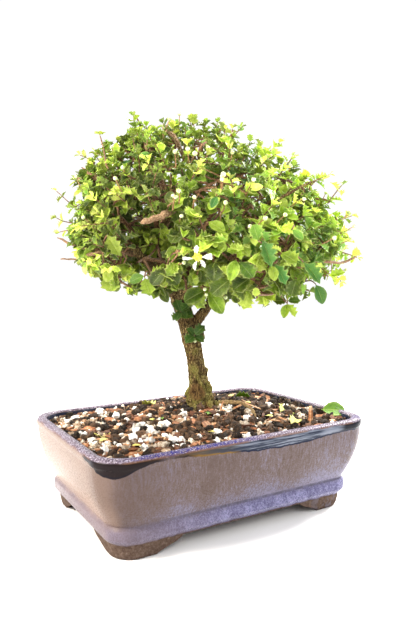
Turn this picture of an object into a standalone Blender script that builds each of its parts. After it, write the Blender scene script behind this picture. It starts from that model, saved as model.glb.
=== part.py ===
"""A dwarf holly bonsai: a small tree with a leaning trunk and an umbrella crown, in a glazed pot.

The pot is a rounded oblong tray on four corner feet. Soil fills it, and drain screens lie under the
soil on its two drain holes. Trunk, roots and limbs are one piece of wood, whose foot stands in a plain
hole in the soil. Each limb's twigs end in sprays, bunches of holly leaves that stand out of a smaller
core. Everything is in metres, +Z up, and the origin is under the middle of the whole outline.
"""

import math
import random

import bmesh
import bpy
from mathutils import Matrix, Vector
from mathutils.bvhtree import BVHTree

# The pot. An inset is how far a ring of the pot lies inside the lip's outline.
POT_CENTRE = Vector((-0.0099, -0.0148, 0.0))
POT_LENGTH = 0.205
POT_WIDTH = 0.151
POT_HEIGHT = 0.0655
POT_CORNER_RADIUS = 0.0198
CORNER_TIGHTENING = 0.37
CORNER_STEPS = 4
FOOT_HEIGHT = 0.0095
FOOT_INSET = 0.0142
LONG_ARCH_HALF = 0.063
SHORT_ARCH_HALF = 0.040
ARCH_SLOPE = 0.017
BAND_BOTTOM = 0.0118
BAND_INSET = 0.0098
WALL_FOOT = 0.0215
WALL_FOOT_INSET = 0.0114
WALL_HEAD_INSET = 0.0008
WALL_BOW = 1.9
LIP_BOTTOM = 0.0592
LIP_WIDTH = 0.0064
WALL_THICKNESS = 0.0052
FLOOR_TOP = 0.0155
DRAIN_RADIUS = 0.0065
DRAIN_OFFSET = 0.046

# The soil, with a mound round the trunk, and the screens that keep it off the drain holes.
FIT = 0.0003
SOIL_LEVEL = POT_HEIGHT - 0.0046
SOIL_MOUND = 0.0075
MOUND_REACH = 0.052
GRAIN_PITCH = 0.0082
GRAIN_RELIEF = 0.0014
GRAIN_JITTER = 0.0016
SCREEN_SIDE = 0.024
SCREEN_THICKNESS = 0.0008
SCREEN_CELLS = 5

# The trunk, and the plain hole in the soil that its foot stands in.
TRUNK_FOOT = POT_CENTRE + Vector((0.0110, 0.0140, 0.0))
MOUND_TOP = SOIL_LEVEL + SOIL_MOUND
STUMP_RADIUS = 0.0092
STUMP_DEPTH = 0.013
HOLE_RADIUS = STUMP_RADIUS + 0.0008
BARK_RIDGE = 0.0006
BARK_RIDGES = 7
TRUNK_STEPS = 3
LIMB_STEPS = 2
TWIG_RADIUS = 0.0016
TWIG_ADVANCES = 30

# The crown is laid out on axes of its own: side runs along its width, and depth across it.
CROWN_TURN = math.radians(-30.7)
SIDE = Matrix.Rotation(CROWN_TURN, 3, "Z") @ Vector((1, 0, 0))
DEPTH = Matrix.Rotation(CROWN_TURN, 3, "Z") @ Vector((0, 1, 0))
UP = Vector((0, 0, 1))

# Points of the trunk's middle line, as side, depth and height, with the trunk's radius there.
TRUNK_LINE = (
    (0.0000, 0.0000, MOUND_TOP - STUMP_DEPTH, STUMP_RADIUS),
    (0.0000, 0.0000, MOUND_TOP + GRAIN_RELIEF + FIT, STUMP_RADIUS),
    (-0.0010, -0.0006, 0.0840, 0.0077),
    (-0.0032, -0.0016, 0.1030, 0.0064),
    (-0.0068, -0.0030, 0.1220, 0.0067),
    (-0.0110, -0.0036, 0.1380, 0.0065),
    (-0.0152, -0.0036, 0.1510, 0.0058),
    (-0.0185, -0.0030, 0.1620, 0.0052),
)

# Surface roots: points as side, depth and lift over the soil, and the radius at each end.
ROOTS = (
    ("right", ((0.0050, -0.0020, 0.0050), (0.0150, -0.0040, 0.0020), (0.0270, -0.0100, 0.0010),
               (0.0370, -0.0250, 0.0004), (0.0400, -0.0370, -0.0030)), 0.0042, 0.0016),
    ("front", ((-0.0020, -0.0050, 0.0050), (-0.0050, -0.0140, 0.0012), (-0.0110, -0.0230, -0.0030)),
     0.0046, 0.0022),
    ("left", ((-0.0050, 0.0010, 0.0050), (-0.0150, 0.0050, 0.0010), (-0.0240, 0.0080, -0.0030)),
     0.0042, 0.0020),
    ("back", ((0.0020, 0.0050, 0.0050), (0.0080, 0.0150, 0.0010), (0.0120, 0.0240, -0.0030)),
     0.0042, 0.0020),
)

# Main limbs: name, points as side, depth and height, and the radius at each end.
LIMBS = (
    ("leader", ((-0.0170, -0.0030, 0.1570), (-0.0278, -0.0010, 0.1740), (-0.0295, 0.0000, 0.2070),
                (-0.0230, 0.0010, 0.2280)), 0.0052, 0.0026),
    ("left", ((-0.0150, -0.0036, 0.1500), (-0.0250, -0.0010, 0.1630), (-0.0370, 0.0040, 0.1790),
              (-0.0450, 0.0070, 0.1940)), 0.0044, 0.0024),
    ("right", ((-0.0080, -0.0030, 0.1260), (0.0020, -0.0040, 0.1390), (0.0110, -0.0050, 0.1520),
               (0.0260, -0.0050, 0.1760), (0.0400, -0.0040, 0.1900)), 0.0042, 0.0024),
    ("front", ((-0.0130, -0.0040, 0.1440), (-0.0120, -0.0140, 0.1560), (-0.0080, -0.0260, 0.1700),
               (-0.0040, -0.0340, 0.1860)), 0.0038, 0.0024),
    ("back", ((-0.0160, -0.0030, 0.1540), (-0.0110, 0.0120, 0.1640), (-0.0040, 0.0260, 0.1740),
              (0.0020, 0.0340, 0.1880)), 0.0038, 0.0024),
)

# The crown's outline: spans from its middle, each way. It is rounder on top and flatter below, and its
# underside slopes down to the right.
CROWN_MIDDLE = (-0.0200, 0.0, 0.2000)
CROWN_LEFT = 0.0900
CROWN_RIGHT = 0.1440
CROWN_DEPTH = 0.0980
CROWN_RISE = 0.0890
CROWN_DROP = 0.0540
CROWN_SLOPE = 0.09
TOP_ROUNDNESS = 1.8
UNDER_ROUNDNESS = 2.4
HEART_SHARE = 0.50

# Sprays: name, limb, share of the limb where its twig starts, and middle as side, depth and height.
SPRAYS = (
    ("top_left", "leader", 1.00, (-0.0380, 0.0000, 0.2570)),
    ("top_right", "leader", 1.00, (0.0150, -0.0010, 0.2530)),
    ("mid_left", "left", 1.00, (-0.0740, -0.0020, 0.2260)),
    ("mid_front_left", "leader", 0.60, (-0.0350, -0.0520, 0.2270)),
    ("mid_front_right", "front", 1.00, (0.0220, -0.0540, 0.2230)),
    ("mid_right", "right", 1.00, (0.0700, -0.0040, 0.2240)),
    ("mid_back_right", "back", 1.00, (0.0330, 0.0510, 0.2230)),
    ("mid_back_left", "leader", 0.75, (-0.0290, 0.0510, 0.2260)),
    ("low_left", "left", 0.60, (-0.0680, -0.0120, 0.1870)),
    ("low_front_left", "front", 0.60, (-0.0440, -0.0600, 0.1830)),
    ("low_front", "front", 0.90, (0.0070, -0.0680, 0.1730)),
    ("low_front_right", "right", 0.70, (0.0560, -0.0560, 0.1730)),
    ("low_right", "right", 1.00, (0.0880, -0.0040, 0.1850)),
    ("low_back_right", "right", 0.80, (0.0610, 0.0530, 0.1780)),
    ("low_back", "back", 0.90, (0.0070, 0.0680, 0.1790)),
    ("low_back_left", "back", 0.60, (-0.0470, 0.0500, 0.1840)),
)
CORE_REACH = 0.0360
CELL_GAP = 0.0004
GOLDEN_ANGLE = math.pi * (3 - math.sqrt(5))

# Holly leaves, standing out of each spray's core.
LEAF_SPACING = 0.0135
LEAF_WAYS = 90
LEAF_STANDS_OUT = 0.0135
LEAF_LENGTH = 0.0200
LEAF_WIDTH = 0.0145
LEAF_THICKNESS = 0.0008
LEAF_CUP = 0.30
LEAF_DROOP = 0.10
LEAF_SINK = 0.0034
LEAF_TRIES = 30
LEAST_LIFT = 0.42
OUTER_SHARE = 0.72
SPINY_SHARE = 0.62

# Outlines of half a leaf, from its foot to its tip, as shares of its length and half its width.
SPINY_HALF = ((0.36, 1.00), (0.54, 0.56), (0.76, 0.86))
OVAL_HALF = ((0.36, 0.92), (0.74, 0.80))

# Flower buds on thin stalks, and the one open flower at the front of the crown.
BUDS_PER_SPRAY = 2
BUD_RADIUS = 0.0018
BUD_STALK = 0.0150
STALK_RADIUS = 0.0005
FLOWER_SPRAY = "low_front"
FLOWER_PLACE = (0.0010, -0.1010, 0.1780)
FLOWER_FACES = (-0.05, -1.0, 0.35)
PETALS = 5
PETAL_LENGTH = 0.0088
PETAL_WIDTH = 0.0062
PETAL_FOOT = 0.0010
PETAL_THICKNESS = 0.0007
RECEPTACLE_RADIUS = 0.0022
RECEPTACLE_THICKNESS = 0.0010
FLOWER_HEART_RADIUS = 0.0017

# Leafy sprouts on the trunk: name, height, direction as side and depth, number of leaves.
SPROUTS = (("low", 0.1215, (0.25, -0.97), 2), ("high", 0.1400, (-0.30, -0.95), 3))
SPROUT_LENGTH = 0.0030
SPROUT_LEAF_LENGTH = 0.0080

# Leaves that fell on the soil: place from the pot's middle, turn, length and tilt in degrees.
FALLEN_LEAVES = (
    (-0.0123, 0.0440, 20, 0.0150, 8), (-0.0780, 0.0020, 200, 0.0150, 10),
    (0.0594, -0.0242, 300, 0.0160, -8), (0.0560, -0.0470, 130, 0.0140, 10),
    (0.0700, 0.0310, 60, 0.0150, 12), (0.0810, -0.0340, 10, 0.0190, 14),
)

LEAF_GREEN = (0.105, 0.230, 0.032)
FALLEN_GREEN = (0.330, 0.370, 0.060)
BARK_BROWN = (0.230, 0.160, 0.085)
GLAZE = (0.250, 0.205, 0.215)
GRIT_BROWN = (0.110, 0.070, 0.045)
PETAL_WHITE = (0.860, 0.880, 0.780)
HEART_YELLOW = (0.750, 0.560, 0.080)
SCREEN_BLACK = (0.020, 0.022, 0.020)


def clear_scene():
    for thing in list(bpy.data.objects):
        bpy.data.objects.remove(thing)


def new_collection(name):
    made = bpy.data.collections.new(name)
    bpy.context.scene.collection.children.link(made)
    return made


def finish_of(name, colour, roughness):
    """A plain Principled finish."""
    made = bpy.data.materials.new(name)
    made.use_nodes = True
    shader = made.node_tree.nodes["Principled BSDF"]
    shader.inputs["Base Color"].default_value = (*colour, 1.0)
    shader.inputs["Roughness"].default_value = roughness
    shader.inputs["Metallic"].default_value = 0.0
    return made


def object_of(bm, name, collection):
    """Ends a bmesh as an object in the collection."""
    bmesh.ops.recalc_face_normals(bm, faces=bm.faces)
    mesh = bpy.data.meshes.new(name)
    bm.to_mesh(mesh)
    bm.free()
    made = bpy.data.objects.new(name, mesh)
    collection.objects.link(made)
    return made


def move_to(collection, thing):
    for old in list(thing.users_collection):
        old.objects.unlink(thing)
    collection.objects.link(thing)


def fuse(target, pieces):
    """Joins the pieces into the target with one Boolean union, and removes them."""
    group = new_collection("joined_" + target.name)
    for piece in pieces:
        move_to(group, piece)
    union = target.modifiers.new("union", "BOOLEAN")
    union.operation = "UNION"
    union.operand_type = "COLLECTION"
    union.collection = group
    union.solver = "MANIFOLD"
    graph = bpy.context.evaluated_depsgraph_get()
    joined = bpy.data.meshes.new_from_object(target.evaluated_get(graph))
    target.modifiers.remove(union)
    target.data = joined
    for piece in pieces:
        bpy.data.objects.remove(piece)
    bpy.data.collections.remove(group)


def cut(target, cutter, helpers, operation="DIFFERENCE"):
    """Cuts the target with a live modifier, and keeps the cutter as a helper."""
    move_to(helpers, cutter)
    cutter.hide_render = True
    cutter.display_type = "WIRE"
    modifier = target.modifiers.new("cut_" + cutter.name, "BOOLEAN")
    modifier.operation = operation
    modifier.object = cutter
    modifier.solver = "EXACT"


def smooth_path(points, steps):
    """Points along a Catmull-Rom curve through rows of numbers, with that many steps to a span."""
    rows = [points[0], *points, points[-1]]
    path = []
    for before, start, end, after in zip(rows, rows[1:], rows[2:], rows[3:]):
        for step in range(steps):
            t = step / steps
            path.append(tuple(
                0.5 * (2 * b + (c - a) * t + (2 * a - 5 * b + 4 * c - d) * t ** 2
                       + (3 * b - 3 * c + d - a) * t ** 3)
                for a, b, c, d in zip(before, start, end, after)))
    path.append(tuple(points[-1]))
    return path


def tapered(thick, thin, count):
    """Radii that run evenly from thick to thin."""
    return [thick + (thin - thick) * i / (count - 1) for i in range(count)]


def tube(name, points, radii, collection, resolution=1):
    """A closed mesh tube along the points, with its own radius at each."""
    curve = bpy.data.curves.new(name, "CURVE")
    curve.dimensions = "3D"
    curve.bevel_depth = 1.0
    curve.bevel_resolution = resolution
    curve.use_fill_caps = True
    spline = curve.splines.new("POLY")
    spline.points.add(len(points) - 1)
    for spot, point, radius in zip(spline.points, points, radii):
        spot.co = (*point, 1.0)
        spot.radius = radius
    line = bpy.data.objects.new(name + "_line", curve)
    collection.objects.link(line)
    graph = bpy.context.evaluated_depsgraph_get()
    mesh = bpy.data.meshes.new_from_object(line.evaluated_get(graph))
    bpy.data.objects.remove(line)
    bm = bmesh.new()
    bm.from_mesh(mesh)
    bpy.data.meshes.remove(mesh)
    bmesh.ops.remove_doubles(bm, verts=bm.verts, dist=0.00001)
    return object_of(bm, name, collection)


def ball(name, middle, radius, subdivisions, collection):
    bm = bmesh.new()
    bmesh.ops.create_icosphere(bm, subdivisions=subdivisions, radius=radius)
    bmesh.ops.translate(bm, verts=bm.verts, vec=middle)
    return object_of(bm, name, collection)


def tree_of(thing):
    """A search tree of an object's mesh."""
    bm = bmesh.new()
    bm.from_mesh(thing.data)
    tree = BVHTree.FromBMesh(bm)
    bm.free()
    return tree


def in_crown(side, depth, height):
    """The real place of a point given on the crown's own axes, which start at the trunk's foot."""
    return TRUNK_FOOT + SIDE * side + DEPTH * depth + UP * height


def rounded_ring(inset, height):
    """Points of the pot's rounded oblong, at that inset from the lip and that height."""
    radius = POT_CORNER_RADIUS - CORNER_TIGHTENING * inset
    half_x = POT_LENGTH / 2 - inset - radius
    half_y = POT_WIDTH / 2 - inset - radius
    ring = []
    for quarter, (x, y) in enumerate(((1, 1), (-1, 1), (-1, -1), (1, -1))):
        for step in range(CORNER_STEPS + 1):
            angle = math.radians(90 * (quarter + step / CORNER_STEPS))
            ring.append(POT_CENTRE + Vector((
                x * half_x + radius * math.cos(angle), y * half_y + radius * math.sin(angle), height)))
    return ring


def loft(name, rings, collection):
    """A closed solid through rings that have the same number of points."""
    bm = bmesh.new()
    rows = [[bm.verts.new(point) for point in ring] for ring in rings]
    for low, high in zip(rows, rows[1:]):
        for i in range(len(low)):
            j = (i + 1) % len(low)
            bm.faces.new((low[i], low[j], high[j], high[i]))
    bm.faces.new(rows[0])
    bm.faces.new(rows[-1])
    return object_of(bm, name, collection)


def wall_inset(height):
    """How far the bowed outer wall lies inside the lip at a height."""
    share = max((height - WALL_FOOT) / (LIP_BOTTOM - WALL_FOOT), 0.0)
    return WALL_HEAD_INSET + (WALL_FOOT_INSET - WALL_HEAD_INSET) * (1 - share) ** WALL_BOW


def arch_cutter(name, half, length, along_y, collection):
    """A bar whose section is the arch between two feet, wider at the floor than at its crown."""
    outline = [(half, -0.002)]
    for step in range(5):
        rise = step / 4
        outline.append((half - ARCH_SLOPE * (0.5 - 0.5 * math.cos(math.pi * rise)), FOOT_HEIGHT * rise))
    outline += [(-x, z) for x, z in reversed(outline)]
    rings = [[POT_CENTRE + (Vector((x, end, z)) if along_y else Vector((end, x, z))) for x, z in outline]
             for end in (-length / 2, length / 2)]
    return loft(name, rings, collection)


def build_pot(parts, helpers):
    """The glazed pot: feet, band, bowed wall, lip and inner wall in one solid."""
    rings = [rounded_ring(FOOT_INSET + 0.0012, 0.0), rounded_ring(FOOT_INSET, 0.0022),
             rounded_ring(FOOT_INSET - 0.0010, FOOT_HEIGHT), rounded_ring(BAND_INSET + 0.0012, BAND_BOTTOM),
             rounded_ring(BAND_INSET, BAND_BOTTOM + 0.0026), rounded_ring(BAND_INSET, WALL_FOOT - 0.0030),
             rounded_ring(BAND_INSET + 0.0010, WALL_FOOT - 0.0008)]
    wall_rows = 7
    for row in range(wall_rows):
        height = WALL_FOOT + (LIP_BOTTOM - WALL_FOOT) * row / (wall_rows - 1)
        rings.append(rounded_ring(wall_inset(height), height))
    rings += [rounded_ring(0.0, LIP_BOTTOM + 0.0008), rounded_ring(0.0, POT_HEIGHT - 0.0018),
              rounded_ring(0.0014, POT_HEIGHT - 0.0002), rounded_ring(LIP_WIDTH / 2, POT_HEIGHT),
              rounded_ring(LIP_WIDTH - 0.0008, POT_HEIGHT - 0.0004),
              rounded_ring(LIP_WIDTH, POT_HEIGHT - 0.0020)]
    for height in (LIP_BOTTOM - 0.003, 0.042, 0.028, FLOOR_TOP + 0.002):
        rings.append(rounded_ring(wall_inset(height) + WALL_THICKNESS, height))
    rings.append(rounded_ring(WALL_FOOT_INSET + WALL_THICKNESS + 0.002, FLOOR_TOP))
    pot = loft("pot", rings, parts)
    pot.data.materials.append(finish_of("blue_brown_glaze", GLAZE, 0.25))
    cut(pot, arch_cutter("long_arch", LONG_ARCH_HALF, 2 * POT_WIDTH, True, parts), helpers)
    cut(pot, arch_cutter("short_arch", SHORT_ARCH_HALF, 2 * POT_LENGTH, False, parts), helpers)
    for side, label in ((-1, "left"), (1, "right")):
        bpy.ops.mesh.primitive_cylinder_add(
            vertices=14, radius=DRAIN_RADIUS, depth=0.03,
            location=POT_CENTRE + Vector((side * DRAIN_OFFSET, 0, FLOOR_TOP)))
        drill = bpy.context.object
        drill.name = "drain_hole_" + label
        cut(pot, drill, helpers)


def build_screens(parts):
    """A square of open plastic screen over each drain hole."""
    plastic = finish_of("black_screen_plastic", SCREEN_BLACK, 0.5)
    cell = SCREEN_SIDE / SCREEN_CELLS
    for side, label in ((-1, "left"), (1, "right")):
        bm = bmesh.new()
        bmesh.ops.create_grid(bm, x_segments=SCREEN_CELLS, y_segments=SCREEN_CELLS, size=SCREEN_SIDE / 2)
        holes = []
        for face in bm.faces:
            middle = face.calc_center_median()
            column = math.floor((middle.x + SCREEN_SIDE / 2) / cell)
            row = math.floor((middle.y + SCREEN_SIDE / 2) / cell)
            if column % 2 and row % 2:
                holes.append(face)
        bmesh.ops.delete(bm, geom=holes, context="FACES")
        bmesh.ops.translate(bm, verts=bm.verts, vec=POT_CENTRE + Vector((
            side * DRAIN_OFFSET, 0, FLOOR_TOP + FIT)))
        screen = object_of(bm, "drain_screen_" + label, parts)
        screen.data.materials.append(plastic)
        thick = screen.modifiers.new("thickness", "SOLIDIFY")
        thick.thickness = SCREEN_THICKNESS
        thick.offset = 1.0


def soil_height(place):
    """The soil's level at a place: a low mound round the trunk."""
    away = Vector((place.x - TRUNK_FOOT.x, place.y - TRUNK_FOOT.y)).length
    return SOIL_LEVEL + SOIL_MOUND * math.exp(-(away / MOUND_REACH) ** 2)


def root_path(points):
    """A surface root's middle line, which follows the soil's mound."""
    path = []
    for side, depth, lift in smooth_path(points, LIMB_STEPS):
        spot = in_crown(side, depth, 0.0)
        spot.z = soil_height(spot) + lift
        path.append(spot)
    return path


def build_soil(parts, helpers):
    """The soil: a block with coarse grains raised from its top, cut to the pot's inside."""
    rng = random.Random(3)
    columns = round(POT_LENGTH / GRAIN_PITCH)
    rows = round(POT_WIDTH / GRAIN_PITCH)
    bm = bmesh.new()
    bmesh.ops.create_grid(bm, x_segments=columns, y_segments=rows, size=0.5)
    for vertex in bm.verts:
        spot = POT_CENTRE + Vector((vertex.co.x * POT_LENGTH, vertex.co.y * POT_WIDTH, 0))
        spot.x += rng.uniform(-GRAIN_JITTER, GRAIN_JITTER)
        spot.y += rng.uniform(-GRAIN_JITTER, GRAIN_JITTER)
        spot.z = soil_height(spot) + rng.uniform(-GRAIN_RELIEF, GRAIN_RELIEF)
        vertex.co = spot
    skirt = bmesh.ops.extrude_face_region(bm, geom=list(bm.faces))
    for item in skirt["geom"]:
        if isinstance(item, bmesh.types.BMVert):
            item.co.z = FLOOR_TOP - 0.004
    soil = object_of(bm, "soil", parts)
    soil.data.materials.append(finish_of("potting_grit", GRIT_BROWN, 0.95))

    gap = WALL_THICKNESS + FIT + 0.0002
    rings = [rounded_ring(WALL_FOOT_INSET + gap + 0.0026, FLOOR_TOP + FIT)]
    for height in (FLOOR_TOP + 0.0026, 0.028, 0.042, LIP_BOTTOM - 0.003):
        rings.append(rounded_ring(wall_inset(height) + gap, height))
    rings += [rounded_ring(LIP_WIDTH + FIT + 0.0003, height) for height in (POT_HEIGHT, MOUND_TOP + 0.004)]
    cut(soil, loft("pot_inside", rings, parts), helpers, "INTERSECT")
    bpy.ops.mesh.primitive_cylinder_add(
        vertices=16, radius=HOLE_RADIUS, depth=2 * (STUMP_DEPTH + FIT),
        location=(TRUNK_FOOT.x, TRUNK_FOOT.y, MOUND_TOP))
    hole = bpy.context.object
    hole.name = "trunk_hole"
    cut(soil, hole, helpers)
    for name, points, thick, thin in ROOTS:
        path = root_path(points)
        radii = [radius + 2 * FIT for radius in tapered(thick, thin, len(path))]
        beyond = path[-1] + (path[-1] - path[-2]).normalized() * 2 * FIT
        cut(soil, tube("root_channel_" + name, [*path[:-1], beyond], radii, parts), helpers)
    for side, label in ((-1, "left"), (1, "right")):
        bpy.ops.mesh.primitive_cube_add(size=1, location=POT_CENTRE + Vector((
            side * DRAIN_OFFSET, 0, FLOOR_TOP)))
        pocket = bpy.context.object
        pocket.name = "screen_pocket_" + label
        pocket.scale = (SCREEN_SIDE + 2 * FIT, SCREEN_SIDE + 2 * FIT, 2 * (SCREEN_THICKNESS + 2 * FIT))
        cut(soil, pocket, helpers)
    return soil


def limb_path(points):
    return [in_crown(*row) for row in smooth_path(points, LIMB_STEPS)]


def raise_bark(wood, middles):
    """Moves the trunk's surface out into root flare, burls and long ridges of bark."""
    for vertex in wood.data.vertices:
        climb = vertex.co.z - MOUND_TOP - GRAIN_RELIEF
        middle = min(middles, key=lambda m: (m - vertex.co).length)
        out = Vector((vertex.co.x - middle.x, vertex.co.y - middle.y, 0))
        if climb < 0.001 or out.length < 0.001:
            continue
        angle = math.atan2(out.y, out.x)
        ridge = BARK_RIDGE * math.sin(BARK_RIDGES * angle + 40 * climb)
        flare = 0.0024 * math.exp(-climb / 0.008) * (0.5 + 0.5 * math.sin(3 * angle + 0.6))
        knot = 0.0018 * math.exp(-((climb - 0.014) / 0.006) ** 2) * (0.5 + 0.5 * math.sin(2 * angle + 2.0))
        vertex.co += out.normalized() * (ridge + flare + knot)


def build_wood(parts, twigs):
    """Trunk, surface roots, limbs and twigs in one piece.

    Each twig is a pair of points: it leaves its limb at the first and ends at the second.
    """
    line = smooth_path(TRUNK_LINE, TRUNK_STEPS)
    middles = [in_crown(side, depth, height) for side, depth, height, _ in line]
    wood = tube("trunk_and_limbs", middles, [row[3] for row in line], parts, resolution=3)
    raise_bark(wood, middles)
    pieces = []
    for name, points, thick, thin in ROOTS:
        path = root_path(points)
        pieces.append(tube("root_" + name, path, tapered(thick, thin, len(path)), parts))
    for name, points, thick, thin in LIMBS:
        path = limb_path(points)
        pieces.append(tube("limb_" + name, path, tapered(thick, thin, len(path)), parts))
    for number, (start, end) in enumerate(twigs):
        radii = tapered(1.3 * TWIG_RADIUS, TWIG_RADIUS, 2)
        pieces.append(tube(f"twig_{number}", [start, end], radii, parts, 0))
    fuse(wood, pieces)
    wood.data.materials.append(finish_of("ridged_bark", BARK_BROWN, 0.9))
    return wood


def blade(half, length, width, thickness, cup, droop):
    """A cupped blade from its foot at the origin, along +Y, with its upper face to +Z.

    Each pair of its outline's points is a rung, and flat strips run from rung to rung.
    """
    bm = bmesh.new()
    foot = bm.verts.new((0, 0, 0))
    tip = bm.verts.new((0, length, -droop * length))
    rungs = []
    for number, (along, across) in enumerate(half):
        rise = cup * width / 2 * (number % 2 == 0) - droop * length * along ** 2
        rungs.append([bm.verts.new((side * across * width / 2, along * length, rise)) for side in (-1, 1)])
    bm.faces.new((foot, rungs[0][1], rungs[0][0]))
    for (left, right), (far_left, far_right) in zip(rungs, rungs[1:-1]):
        bm.faces.new((left, right, far_right))
        bm.faces.new((left, far_right, far_left))
    if len(rungs) == 2:
        (left, right), (far_left, far_right) = rungs
        for face in ((left, right, far_right), (left, far_right, far_left), (far_left, far_right, tip)):
            bm.faces.new(face)
    else:
        (left, right), (far_left, far_right) = rungs[-2:]
        for face in ((left, right, tip), (right, far_right, tip), (far_left, left, tip)):
            bm.faces.new(face)
    bmesh.ops.recalc_face_normals(bm, faces=bm.faces)
    bmesh.ops.solidify(bm, geom=list(bm.faces), thickness=thickness)
    return bm


def holly_leaf(kind, length):
    """A leaf's blade: spiny with sharp lobes, or plain and oval."""
    half = SPINY_HALF if kind == "spiny" else OVAL_HALF
    return blade(half, length, length * LEAF_WIDTH / LEAF_LENGTH, LEAF_THICKNESS, LEAF_CUP, LEAF_DROOP)


def placed(foot, ahead, up):
    """The matrix that sets a blade's foot at a point, its length ahead and its face towards up."""
    ahead = ahead.normalized()
    across = ahead.cross(up).normalized()
    turn = Matrix((across, ahead, across.cross(ahead))).transposed().to_4x4()
    return Matrix.Translation(foot) @ turn


def crown_parts(place, scale, inset):
    """A place's shares of the crown's spans along side, depth and height, and the outline's roundness."""
    away = place - in_crown(*CROWN_MIDDLE)
    side = away.dot(SIDE)
    drop = CROWN_DROP + CROWN_SLOPE * side
    shares = [part / (span * scale - inset) for part, span in (
        (side, CROWN_RIGHT if side > 0 else CROWN_LEFT),
        (away.dot(DEPTH), CROWN_DEPTH),
        (away.z, CROWN_RISE if away.z > 0 else drop))]
    return shares, TOP_ROUNDNESS if away.z > 0 else UNDER_ROUNDNESS


def crown_share(place, scale=1.0, inset=0.0):
    """How far out a place lies: 1 on the crown's outline, scaled or moved in, and less inside."""
    shares, roundness = crown_parts(place, scale, inset)
    return sum(abs(share) ** roundness for share in shares)


def crown_out(place):
    """The way out of the crown at a place."""
    (side, depth, rise), _ = crown_parts(place, 1.0, 0.0)
    return (SIDE * side + DEPTH * depth + UP * rise).normalized()


class Spray:
    """A bunch of leaves: a rough core in its own cell of the crown, and all that stands out of it."""

    def __init__(self, number, middles, parts, rng):
        self.name = SPRAYS[number][0]
        self.middle = middles[number]
        self.parts = parts
        self.rng = rng
        self.walls = []
        for other, middle in enumerate(middles):
            if other != number:
                apart = middle - self.middle
                self.walls.append((apart.normalized(), apart.length / 2 - CELL_GAP))
        self.pieces = []
        self.seats = []
        self.core = self.make_core()
        self.core_tree = tree_of(self.core)

    def make_core(self):
        """A rough ball, swollen until it meets its cell's walls, the crown's heart or the leaves' layer."""
        core = ball("spray_" + self.name, Vector(), 1.0, 2, self.parts)
        for vertex in core.data.vertices:
            way = vertex.co.normalized()
            reach = min([CORE_REACH, *(limit / way.dot(wall) for wall, limit in self.walls if way.dot(wall) > 0)])
            while (crown_share(self.middle + way * reach, inset=LEAF_STANDS_OUT) > 1
                   or crown_share(self.middle + way * reach, scale=HEART_SHARE) < 1):
                reach -= 0.001
            vertex.co = self.middle + way * reach * self.rng.uniform(0.92, 1.0)
        return core

    def add(self, pieces, obstacles):
        """Adds a new piece, of one or more meshes, if it is clear of all there is. Returns whether it was."""
        trees = [BVHTree.FromBMesh(piece) for piece in pieces]
        clear = not any(tree.overlap(other) for tree in trees for other in obstacles)
        for piece in pieces:
            if clear:
                self.pieces.append(object_of(piece, self.name + "_piece", self.parts))
            else:
                piece.free()
        if clear:
            obstacles += trees
        return clear

    def add_leaf(self, place, out, normal, obstacles):
        """Tries different turns of a leaf at its place on the core. Returns whether one was free."""
        for _ in range(LEAF_TRIES):
            kind = "spiny" if self.rng.random() < SPINY_SHARE else "oval"
            length = LEAF_LENGTH * self.rng.uniform(0.86, 1.10)
            tangent = out.orthogonal().normalized()
            tangent.rotate(Matrix.Rotation(self.rng.uniform(0, 2 * math.pi), 3, out))
            ahead = (out * self.rng.uniform(0.40, 0.90) + tangent * 0.8).normalized()
            if ahead.dot(normal) < LEAST_LIFT:
                continue
            leaf = holly_leaf(kind, length)
            bmesh.ops.transform(leaf, matrix=placed(place - ahead * LEAF_SINK - normal * 0.0006, ahead, out),
                                verts=leaf.verts)
            if self.add([leaf], obstacles):
                return True
        return False

    def add_bud(self, place, out, obstacles):
        """A round flower bud at the end of a thin stalk. Returns whether there was room for it."""
        end = place + out * BUD_STALK
        stalk = bmesh.new()
        bmesh.ops.create_cone(stalk, cap_ends=True, segments=4, radius1=STALK_RADIUS, radius2=STALK_RADIUS,
                              depth=BUD_STALK + LEAF_SINK)
        turn = out.to_track_quat("Z", "Y").to_matrix().to_4x4()
        middle = place + out * (BUD_STALK - LEAF_SINK) / 2
        bmesh.ops.transform(stalk, matrix=Matrix.Translation(middle) @ turn, verts=stalk.verts)
        bud = bmesh.new()
        bmesh.ops.create_icosphere(bud, subdivisions=1, radius=BUD_RADIUS, matrix=Matrix.Translation(end))
        return self.add([stalk, bud], obstacles)

    def grow(self, obstacles):
        """Sets buds and leaves all over the core's outer side, evenly apart."""
        ways = [Vector(way) for way in directions(LEAF_WAYS)]
        self.rng.shuffle(ways)
        buds = BUDS_PER_SPRAY
        for way in ways:
            place, normal, _, _ = self.core_tree.ray_cast(self.middle + way * 2 * CORE_REACH, -way)
            if crown_share(place, inset=LEAF_STANDS_OUT) < OUTER_SHARE:
                continue
            if any((place - seat).length < LEAF_SPACING for seat in self.seats):
                continue
            out = (crown_out(place) + normal).normalized()
            if buds and self.add_bud(place, out, obstacles):
                buds -= 1
            elif self.add_leaf(place, out, normal, obstacles):
                self.seats.append(place)
        fuse(self.core, self.pieces)


def directions(count):
    """Evenly spread directions over a ball."""
    for number in range(count):
        level = 1 - 2 * (number + 0.5) / count
        ring = math.sqrt(1 - level * level)
        turn = GOLDEN_ANGLE * number
        yield ring * math.cos(turn), ring * math.sin(turn), level


def flower_axis():
    side, depth, height = FLOWER_FACES
    return (SIDE * side + DEPTH * depth + UP * height).normalized()


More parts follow.
